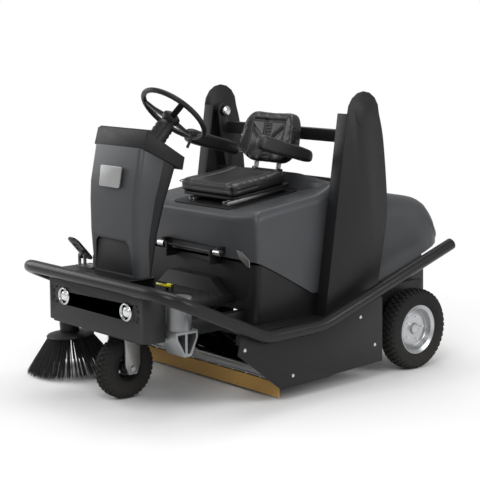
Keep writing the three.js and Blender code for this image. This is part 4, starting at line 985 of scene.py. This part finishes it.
@dataclass
class Hood:
    """The tilting engine hood with the dark seat platform on its crown."""

    front: float = -300.0
    back: float = 220.0
    half: float = 455.0
    shoulder_half: float = 442.0
    slope: float = 7.0
    slope_front: float = -259.0
    slope_foot: float = 879.0
    ridge_front: float = 206.0
    ridge_top: float = 212.0
    ridge_height: float = 1018.0
    thickness: float = 4.5
    shoulder: tuple[Pair, ...] = ((-300, 868), (-262, 890), (127, 939), (220, 988))
    crown_half: tuple[Pair, ...] = ((-300, 262), (206, 226), (220, 180))
    lower_edge: tuple[Pair, ...] = ((-300, 655), (-262, 640), (-150, 583), (-49, 527), (60, 467), (220, 465))

    def crown(self, y: float) -> float:
        """The height of the crown, which runs up to the back and steps up at the ridge."""
        rise = math.tan(math.radians(self.slope))
        if self.slope_front <= y <= self.ridge_front:
            return self.slope_foot + (y - self.slope_front) * rise
        ridge_foot = self.slope_foot + (self.ridge_front - self.slope_front) * rise
        return along(((self.front, 858), (self.slope_front, self.slope_foot), (self.ridge_front, ridge_foot),
                      (self.ridge_top, self.ridge_height), (self.back, self.ridge_height)), y)

    def _section(self, y: float, inset: float) -> list[Point]:
        """One rib of the hood from its lower left edge over the crown.

        Args:
            y: Where the rib stands.
            inset: How far it lies inside the outer shape.

        Returns:
            Points in the machine's millimetres.
        """
        shoulder = along(self.shoulder, y) - inset
        corners = [(self.half - inset, along(self.lower_edge, y)), (self.half - inset, 720),
                   (self.shoulder_half - inset + 4, shoulder - 26),
                   (self.shoulder_half - inset - 18, shoulder + 3),
                   (along(self.crown_half, y) - inset * 0.5, self.crown(y) - inset), (0, self.crown(y) - inset)]
        reach = [0, 60, 16, 14, 12, 0]
        line: list[Pair] = []
        for k, corner in enumerate(corners):
            if not reach[k]:
                line.append(corner)
                continue
            here, before, after = Vector(corner), Vector(corners[k - 1]), Vector(corners[k + 1])
            r = min(reach[k], (before - here).length * 0.45, (after - here).length * 0.45)
            start = here + (before - here).normalized() * r
            end = here + (after - here).normalized() * r
            for s in range(7):
                t = s / 6
                p = start * (1 - t) ** 2 + here * 2 * t * (1 - t) + end * t ** 2
                line.append((p.x, p.y))
        other = [(-x, z) for x, z in reversed(line[:-1])]
        return [(x, y, z) for x, z in line + other]

    def build(self) -> None:
        """Makes the skin, the seat platform and the catch plate."""
        stations = [(self.front, 13.0), (self.front + 2, 7.5), (self.front + 6, 3.0), (self.front + 13, 0.0)]
        stations += [(y, 0.0) for y in (-275, -259, -240, -190, -130, -60, 0, 60, 110, 160, 190, 206, 209, 212,
                                        220)]
        skin = lofted([self._section(y, inset) for y, inset in stations], 0)
        fitted(walled("hood_skin", skin, self.thickness, 38), "hood", GREY, "engine_hood")
        place = seating(0, -231, 882.4, 7)
        form = rounded_form([(-232, -34), (232, -34), (222, 432), (-222, 432)], 46)
        fitted(object_from("seat_platform", prism(form, -1.0, 5.0, place, "Z", 2.0)), "hood", PLASTIC)
        catch = prism([(312, 700), (352, 694), (404, 662), (404, 628), (392, 628), (330, 664)], -306, -299,
                      seating(0, 0, 0), "Y", 1.2)
        fitted(object_from("hood_catch", catch), "hood", ZINC)


@dataclass
class HopperCover:
    """The round-shouldered rear cover of the hopper."""

    thickness: float = 4.5
    half: tuple[Pair, ...] = ((445, 474), (860, 474), (925, 466), (970, 448), (990, 432))
    top: tuple[Pair, ...] = ((445, 926), (549, 913), (640, 902), (721, 889), (780, 878), (819, 866), (862, 842),
                             (901, 806), (930, 771), (949, 743), (972, 698), (990, 652))
    low: tuple[Pair, ...] = ((445, 452), (990, 626))
    corner: float = 64.0
    crease: tuple[Pair, ...] = ((445, 775), (548, 785), (912, 802), (990, 640))

    def _section(self, y: float, inset: float) -> list[Point]:
        """One rib from the lower left edge over the top.

        Args:
            y: Where it stands.
            inset: How far it lies inside the outer shape.

        Returns:
            Points in the machine's millimetres.
        """
        half, top, low = along(self.half, y) - inset, along(self.top, y) - inset, along(self.low, y)
        r = min(self.corner, (top - low) * 0.45)
        fold = min(along(self.crease, y), top - r - 2)
        line = [(half - 5, low), (half - 5, low + (fold - low) * 0.5), (half - 5, fold - 9), (half, fold)]
        line += [(half - r + r * math.cos(a), top - r + r * math.sin(a))
                 for a in (math.pi / 2 * k / 12 for k in range(13))]
        line += [(half * 0.5, top + 1.5), (0, top + 2)]
        return [(x, y, z) for x, z in line + [(-x, z) for x, z in reversed(line[:-1])]]

    def build(self) -> None:
        """Makes the cover and the dark seal at its front."""
        stations = [(y, 0.0) for y in (446, 480, 549, 600, 660, 721, 760, 800, 830, 862, 885, 901, 917, 930,
                                       942, 956)]
        stations += [(968, 0.5), (978, 2.5), (985, 6.0), (989.5, 12.0)]
        skin = lofted([self._section(y, inset) for y, inset in stations], -1)
        fitted(walled("hopper_skin", skin, self.thickness, 40), "hopper", GREY, "hopper_shell")
        path = [spot(x, 447, z) for x, _, z in self._section(447, -1.5)[3:-3]]
        fitted(object_from("hopper_edge_seal", swept(path, 6 * MM, 12), 60), "hopper", GRIP)


@dataclass
class Pad:
    """A stuffed piece: a form pushed out, blown up as cloth, then sewn."""

    name: str
    node: str
    body: str
    place: Matrix
    form: list[Pair]
    low: float
    high: float
    axis: str
    edge: float
    relief: Callable[[Vector], Vector]
    fill: float = 0.6
    voxel: float = 0.0055
    cap: float = 0.007

    def _blown(self, pad: bpy.types.Object) -> None:
        """Blows the pad up as cloth and keeps each point near its start.

        Args:
            pad: The remeshed pad.
        """
        start = [v.co.copy() for v in pad.data.vertices]
        cloth = pad.modifiers.new("stuffing", "CLOTH")
        cloth.settings.use_pressure = True
        cloth.settings.uniform_pressure_force = 4.0
        cloth.settings.effector_weights.gravity = 0.0
        cloth.settings.quality = 5
        scene = bpy.context.scene
        for step in range(1, 21):
            scene.frame_set(step)
        settled(pad)
        scene.frame_set(1)
        for vertex, home in zip(pad.data.vertices, start):
            move = vertex.co - home
            if move.length > self.cap:
                vertex.co = home + move.normalized() * self.cap

    def build(self) -> bpy.types.Object:
        """Makes the pad and fits it.

        Returns:
            The finished pad.
        """
        bm = prism(rounded_form(self.form, 40, 8), self.low, self.high, self.place, self.axis, self.edge, 4)
        pad = object_from(f"{self.name}_pad", bm, 80)
        mesher = pad.modifiers.new("mesher", "REMESH")
        mesher.mode = "VOXEL"
        mesher.voxel_size = self.voxel
        settled(pad)
        self._blown(pad)
        fine = pad.modifiers.new("fine", "SUBSURF")
        fine.levels = 1
        fine.render_levels = 1
        settled(pad)
        back = self.place.inverted()
        for vertex in pad.data.vertices:
            vertex.co = self.place @ self.relief(back @ vertex.co)
        shaded(pad, 80)
        fitted(pad, self.body, VINYL, self.node)
        return pad


def groove(distance: float, width: float, depth: float) -> float:
    """The depth of a soft sewn channel at a distance from its middle.

    Args:
        distance: From the channel's middle, in millimetres.
        width: Half of the channel's width.
        depth: Its greatest depth.

    Returns:
        The depth there, in millimetres.
    """
    return depth * math.exp(-(distance / width) ** 2)


def cushion_relief(point: Vector) -> Vector:
    """The cushion's hollow, side rolls, rear roll and sewn seams, in the seat's millimetres."""
    x, y, z = point
    if z > 34:
        weight = min(1.0, (z - 34) / 16)
        dish = -11 * math.exp(-(x / 125) ** 2 - ((y - 190) / 120) ** 2)
        roll = 7 * math.exp(-((abs(x) - 178) / 34) ** 2)
        rear = 6 * math.exp(-((y - 330) / 40) ** 2)
        seams = groove(abs(x) - 134, 4.5, 5.0) + groove(y - 300, 4.5, 4.0 if abs(x) < 134 else 0.0)
        z += weight * (dish + roll * 0.6 + rear - seams)
    if 12 < z < 46:
        pull = groove(z - 30, 5.0, 2.4)
        x -= math.copysign(pull, x) if abs(x) > 205 else 0.0
        y += pull if y < 14 else 0.0
    return Vector((x, y, z))


def backrest_relief(point: Vector) -> Vector:
    """The backrest's wings, rib channel, slanted hollows and top ridge, in its own millimetres."""
    x, y, z = point
    if y < 0:
        wing = 20 * math.exp(-((abs(x) - 178) / 30) ** 2)
        centre = abs(x)
        channel = 7 if centre < 22 else groove(centre - 22, 6.0, 7.0)
        ribs = 2.6 * math.cos(2 * math.pi * (z - 40) / 17) if centre < 17 and 50 < z < 250 else 0.0
        seam = groove(centre - 120, 4.5, 6.0)
        slant = abs((z - 168) - (centre - 60) * 0.75)
        hollow = 8 * math.exp(-(slant / 17) ** 2) if 32 < centre < 112 else 0.0
        low = 6 * math.exp(-(((z - 88) / 34) ** 2 + ((centre - 74) / 30) ** 2))
        ridge = 7 * math.exp(-((z - 262) / 8) ** 2) if centre < 112 else 0.0
        rim = groove(z - 246, 6.0, 5.0) if centre < 116 else 0.0
        y += (channel + seam + hollow + low + rim - ribs - ridge) - wing
    return Vector((x, y, z))


def armrest_relief(point: Vector) -> Vector:
    """The seam along the armrest's side, in its own millimetres."""
    x, y, z = point
    pull = groove(z - 24, 3.0, 1.6)
    x = x + pull if x < 26 else x - pull
    return Vector((x, y, z))


@dataclass
class Seat:
    """Cushion, backrest, armrests and their metal."""

    cushion_half: float = 218.0
    depth: float = 366.0
    tilt: float = 7.0

    def build(self) -> None:
        """Makes every padded piece of the seat."""
        place = seating(0, -231, 929.09, self.tilt)
        half = self.cushion_half
        form = [(-half, 3), (half, 3), (half - 14, self.depth), (-half + 14, self.depth)]
        Pad("cushion", "seat_cushion", "seat", place, form, 2, 54, "Z", 15, cushion_relief, 0.6).build()
        path = [place @ Vector((x, y, 50)) for x, y in rounded_form([(-half - 2, 0), (half + 2, 0),
                (half - 12, self.depth + 2), (-half + 12, self.depth + 2)], 44, 10)]
        piping = object_from("cushion_piping", swept(path + path[:1], 2.4 * MM, 10), 80)
        fitted(piping, "seat", VINYL)

        back = place @ Matrix.Translation((0, 412, 44)) @ Matrix.Rotation(math.radians(-22), 4, "X")
        face = [(-128, 34), (128, 34), (202, 98), (186, 236), (150, 298), (-150, 298), (-186, 236), (-202, 98)]
        Pad("backrest", "seat_backrest", "backrest", back, face, -40, 20, "Y", 16, backrest_relief, 0.55).build()
        pin = Matrix.Translation((0, 5, 84)) @ Matrix.Rotation(math.radians(90), 4, "Y")
        rod = [(0, -292), (8.5, -292), (9, -290), (9, 290), (8.5, 292), (0, 292)]
        fitted(object_from("armrest_pin", turned(rod, back @ pin, 24)), "backrest", ZINC)
        lug = [(-12, -14), (12, -14), (10, 40), (-20, 40)]
        lugs = [prism(lug, x - 4, x + 4, back, "X", 1.0) for x in (83, -83)]
        fitted(object_from("backrest_lugs", merged(*lugs)), "backrest", ZINC)
        for name, side in (("left", 1), ("right", -1)):
            shift = 248 if side > 0 else -300
            arm = back @ Matrix.Translation((shift, 5, 84)) @ Matrix.Rotation(math.radians(-2), 4, "X")
            form = [(16, -22), (10, 34), (-60, 41), (-346, 36), (-346, -34), (-250, -41), (-90, -30)]
            Pad(f"armrest_{name}", f"armrest_{name}", f"armrest_{name}", arm, form, 3, 49, "X", 10,
                armrest_relief, 0.8, cap=0.003).build()


@dataclass
class SideBrush:
    """The tilted side brush: a domed disc with bristle bundles that flare to the floor."""

    place: Matrix
    bundles: int = 46
    rows: int = 26
    length: float = 210.0
    root: float = 172.0
    inner: float = 72.0
    ring: float = 42.0

    def build(self) -> None:
        """Makes the disc and its bristles."""
        disc = [(0, 172), (116, 172), (120, 174), (121, 179), (116, 184), (84, 190), (62, 196), (40, 199),
                (24, 201), (0, 202)]
        fitted(object_from("side_brush_dome", turned(disc, self.place, 64), 50), "side_brush", PLASTIC,
               "side_brush_disc")
        turn = self.place.to_3x3().normalized()
        stands = []
        for row in range(self.rows):
            share = row / (self.rows - 1)
            for k in range(self.bundles):
                a = 2 * math.pi * (k + 0.5 * (row % 2) + 0.17 * math.sin(row * 3.1 + k * 1.7)) / self.bundles
                wide = Vector((math.cos(a), math.sin(a), 0))
                low = 1.5 + 2 * math.sin(k * 5 + row)
                foot = wide * (self.inner + self.ring * share) + Vector((0, 0, self.root))
                spread = math.sqrt(self.length ** 2 - (self.root - low) ** 2)
                tip = wide * (self.inner + self.ring * share + spread) + Vector((0, 0, low))
                stands.append(Stand(self.place @ foot, turn @ (tip - foot).normalized()))
        Repeat("side_brush_fibres", bristle_shape()).build(
            stands, (3.4 * MM, 3.4 * MM, self.length * MM), "side_brush", BRISTLE, 0.06, 11,
            ("side_brush_bristles",))


@dataclass
class RollerBroom:
    """Helical rows of bristles on the roller."""

    centre: Point = (0, 60, 147)
    half: float = 408.0
    core: float = 60.0
    radius: float = 144.0
    rows: int = 10
    tufts: int = 90

    def build(self) -> None:
        """Makes the bristles."""
        stands = []
        for row in range(self.rows):
            for k in range(self.tufts):
                share = k / (self.tufts - 1)
                for spread in (-0.045, 0.045):
                    a = 2 * math.pi * (row / self.rows + share * 0.5) + spread
                    out = Vector((0, math.cos(a), math.sin(a)))
                    along_axis = Vector(((share * 2 - 1) * self.half, 0, 0))
                    foot = Vector(self.centre) + out * (self.core - 2) + along_axis
                    stands.append(Stand(spot(*foot), out))
        Repeat("broom_fibres", bristle_shape()).build(
            stands, (7 * MM, 5 * MM, (self.radius - self.core) * MM), "broom_roller", BRISTLE, 0.05, 3,
            ("broom_bristles",))


@dataclass
class Lamp:
    """A headlight: chromed bezel, dark throat and ribbed lens."""

    name: str
    x: float
    y: float = -903.0
    z: float = 475.0

    def build(self) -> None:
        """Makes bezel, throat and lens."""
        place = Matrix.Translation(spot(self.x, self.y, self.z)) @ Matrix.Rotation(math.radians(90), 4, "X") \
            @ Matrix.Scale(MM, 4)
        bezel = [(0, -60), (27, -60), (36, -6), (36, 0.5), (43.6, 0.5), (44, 3), (42, 8), (38, 10.5), (34, 9.5),
                 (31.5, 5), (30.5, -8), (0, -9)]
        fitted(object_from(f"lamp_bezel_{self.name}", turned(bezel, place, 72), 40), "chassis", CHROME,
               f"headlight_{self.name}")
        throat = [(0, -8.6), (30, -8.6), (30, -7.4), (26.5, -6.6), (0, -6.4)]
        fitted(object_from(f"lamp_throat_{self.name}", turned(throat, place, 48), 40), "chassis", DEEP)
        lens = [(0, -6.2), (25, -6.2), (25.5, -2), (24, 2), (20, 6.5), (14, 9.6), (7, 11.4), (0, 12)]
        fitted(object_from(f"lamp_glass_{self.name}", turned(lens, place, 60), 60), "chassis", LENS)


@dataclass
class SmallWork:
    """Bolts, tread pattern, a bare plate, hinge collars, the lever knob and pivot discs."""

    def build(self) -> None:
        """Makes every small piece."""
        left = Vector((1, 0, 0))
        screws = [Stand(spot(569, y, z), left) for y, z in ((-478, 289), (-176, 120), (277, 336), (382, 182))]
        screws += [Stand(spot(-569, s.foot.y / MM - ORIGIN.y / MM, s.foot.z / MM), -left) for s in screws]
        Repeat("skirt_bolts", hex_bolt()).build(screws, (17 * MM, 17 * MM, 14 * MM), "chassis", CHROME)

        front = Vector((0, -1, 0))
        studs = [Stand(spot(side * x, -903, z), front) for side in (1, -1) for x, z in ((318, 510), (318, 440))]
        Repeat("panel_studs", hex_bolt()).build(studs, (13 * MM, 13 * MM, 10 * MM), "chassis", PANEL)

        up = Vector((0, 0, 1))
        marks = []
        for row, y in enumerate(range(-668, -350, 26)):
            for column, x in enumerate(range(-258, 260, 30)):
                run = Vector((1, 1, 0)) if (row + column) % 2 else Vector((1, -1, 0))
                marks.append(Stand(spot(x, y, 480), up, run.normalized()))
        Repeat("deck_tread", lozenge_shape()).build(marks, (24 * MM, 8 * MM, 1.6 * MM), "chassis", BLACK)

        clamps = [Stand(spot(x, -231.6, 92), Vector((0, -1, 0))) for x in range(-500, 501, 100)]
        Repeat("flap_screws", hex_bolt()).build(clamps, (12 * MM, 12 * MM, 10 * MM), "flap", CHROME)

        badge = prism(rounded_form([(-78, 1010), (78, 1010), (82, 1108), (-82, 1108)], 10), -806, -797,
                      seating(0, 0, 0), "Y", 1.5)
        bmesh.ops.rotate(badge, cent=spot(0, -796, 1058), matrix=Matrix.Rotation(math.radians(-9), 3, "X"),
                         verts=badge.verts[:])
        fitted(object_from("console_plate", badge), "chassis", ZINC)

        for side in (-1, 1):
            ends = [spot(side * (214 + shift), -338, 677) for shift in (-22, -8, 8, 22)]
            fitted(object_from(f"hinge_collar_{'left' if side > 0 else 'right'}", swept(ends, 15.5 * MM, 28), 50),
                   "hood", CHROME)

        knob = seating(84, -380, 1236, -30)
        stalk = turned([(0, -70), (7, -70), (7, -8), (16, -6), (19, 2), (17, 12), (10, 17), (0, 18)], knob, 40)
        fitted(object_from("lever_knob", stalk, 50), "chassis", PLASTIC)

        for side, way in (("left", 1), ("right", -1)):
            aside = Matrix.Rotation(math.radians(-90 * way), 4, "Y")
            place = Matrix.Translation(spot(way * 467, 300, 1296)) @ aside @ Matrix.Scale(MM, 4)
            disc = [(0, -2), (24, -2), (26, 0), (26, 5), (22, 8), (0, 9)]
            fitted(object_from(f"pivot_disc_{side}", turned(disc, place, 40), 40), "chassis", CHROME)


# ----------------------------------------------------------------------------------------------
# The studio
# ----------------------------------------------------------------------------------------------
@dataclass
class Studio:
    """Floor, lamps, world and camera."""

    location: Point = (5.034, -4.415, 1.737)
    target: Point = (0.202, -0.186, 0.723)
    lens: float = 100.9

    def _lamp(self, name: str, place: Point, size: float, power: float) -> None:
        """One soft lamp aimed at the machine.

        Args:
            name: Its name.
            place: Where it stands, in metres.
            size: Its side in metres.
            power: Its power in watts.
        """
        data = bpy.data.lights.new(name, "AREA")
        data.size = size
        data.energy = power
        lamp = bpy.data.objects.new(name, data)
        lamp.location = place
        lamp.rotation_euler = (Vector((0, 0, 0.6)) - Vector(place)).to_track_quat("-Z", "Y").to_euler()
        bpy.context.scene.collection.objects.link(lamp)

    def _pale(self) -> bpy.types.Material:
        """The floor's pale finish, which runs into the white background away from the machine.

        Returns:
            The material.
        """
        made = bpy.data.materials.new("studio_floor")
        made.use_nodes = True
        nodes, links = made.node_tree.nodes, made.node_tree.links
        shader = nodes["Principled BSDF"]
        shader.inputs["Base Color"].default_value = (0.9, 0.9, 0.9, 1)
        shader.inputs["Roughness"].default_value = 0.9
        shader.inputs["Specular IOR Level"].default_value = 0.1
        place = nodes.new("ShaderNodeTexCoord")
        away = nodes.new("ShaderNodeVectorMath")
        away.operation = "LENGTH"
        links.new(place.outputs["Object"], away.inputs[0])
        share = nodes.new("ShaderNodeMapRange")
        share.interpolation_type = "SMOOTHSTEP"
        share.inputs["From Min"].default_value = 1.1
        share.inputs["From Max"].default_value = 2.6
        links.new(away.outputs["Value"], share.inputs["Value"])
        path = nodes.new("ShaderNodeLightPath")
        seen = nodes.new("ShaderNodeMath")
        seen.operation = "MAXIMUM"
        links.new(path.outputs["Is Camera Ray"], seen.inputs[0])
        links.new(path.outputs["Is Glossy Ray"], seen.inputs[1])
        level = nodes.new("ShaderNodeMapRange")
        level.inputs["To Min"].default_value = 0.4
        level.inputs["To Max"].default_value = 1.0
        links.new(seen.outputs["Value"], level.inputs["Value"])
        glow = nodes.new("ShaderNodeEmission")
        links.new(level.outputs["Result"], glow.inputs["Strength"])
        both = nodes.new("ShaderNodeMixShader")
        links.new(share.outputs["Result"], both.inputs["Fac"])
        links.new(shader.outputs["BSDF"], both.inputs[1])
        links.new(glow.outputs["Emission"], both.inputs[2])
        links.new(both.outputs["Shader"], nodes["Material Output"].inputs["Surface"])
        return made

    def build(self) -> None:
        """Sets the studio up."""
        scene = bpy.context.scene
        bm = bmesh.new()
        bmesh.ops.create_grid(bm, x_segments=4, y_segments=4, size=30)
        floor = object_from("floor", bm)
        floor.data.materials.append(self._pale())
        world = bpy.data.worlds.new("studio")
        world.use_nodes = True
        nodes, links = world.node_tree.nodes, world.node_tree.links
        sky = nodes["Background"]
        sky.inputs["Color"].default_value = (1, 1, 1, 1)
        path = nodes.new("ShaderNodeLightPath")
        seen = nodes.new("ShaderNodeMapRange")
        seen.inputs["To Min"].default_value = 0.5
        seen.inputs["To Max"].default_value = 1.0
        links.new(path.outputs["Is Camera Ray"], seen.inputs["Value"])
        links.new(seen.outputs["Result"], sky.inputs["Strength"])
        scene.world = world
        self._lamp("key", (3.0, -3.5, 4.2), 2.6, 105)
        self._lamp("left_side", (4.6, 1.8, 2.6), 2.2, 70)
        self._lamp("top", (-0.5, 0.5, 4.6), 3.0, 90)
        self._lamp("right_side", (-4.0, -2.0, 2.4), 2.4, 60)
        data = bpy.data.cameras.new("camera")
        data.lens = self.lens
        data.sensor_width = 36.0
        camera = bpy.data.objects.new("camera", data)
        camera.location = Vector(self.location) + ORIGIN
        way = Vector(self.target) - Vector(self.location)
        camera.rotation_euler = way.to_track_quat("-Z", "Y").to_euler()
        scene.collection.objects.link(camera)
        scene.camera = camera
        scene.view_settings.view_transform = "Standard"


def side_brush_place() -> Matrix:
    """The side brush's own frame, which leans outwards and forwards."""
    lean = Matrix.Rotation(math.radians(4), 4, Vector((1, -1, 0)).normalized())
    return Matrix.Translation(spot(-560, -650, 17.74)) @ lean @ Matrix.Scale(MM, 4)


def main() -> None:
    """Builds every sub-assembly in order."""
    Studio().build()
    Covers().build()
    BumperTube().build()
    Wheel("rear_left", "rear_wheel_left", (520, 716, 207.5), 207.5, 108, 124, RIM, 1).build()
    Wheel("rear_right", "rear_wheel_right", (-520, 716, 207.5), 207.5, 108, 124, RIM, -1).build()
    Wheel("front", "front_wheel", (0, -740, 151), 151, 100, 64, BLACK, 1,
          lugs=36, bolts=4, bolt_ring=0.66).build()
    Steering().build()
    Hood().build()
    HopperCover().build()
    Seat().build()
    SideBrush(side_brush_place()).build()
    RollerBroom().build()
    Lamp("left", 247).build()
    Lamp("right", -247).build()
    SmallWork().build()


if __name__ == "__main__":
    main()
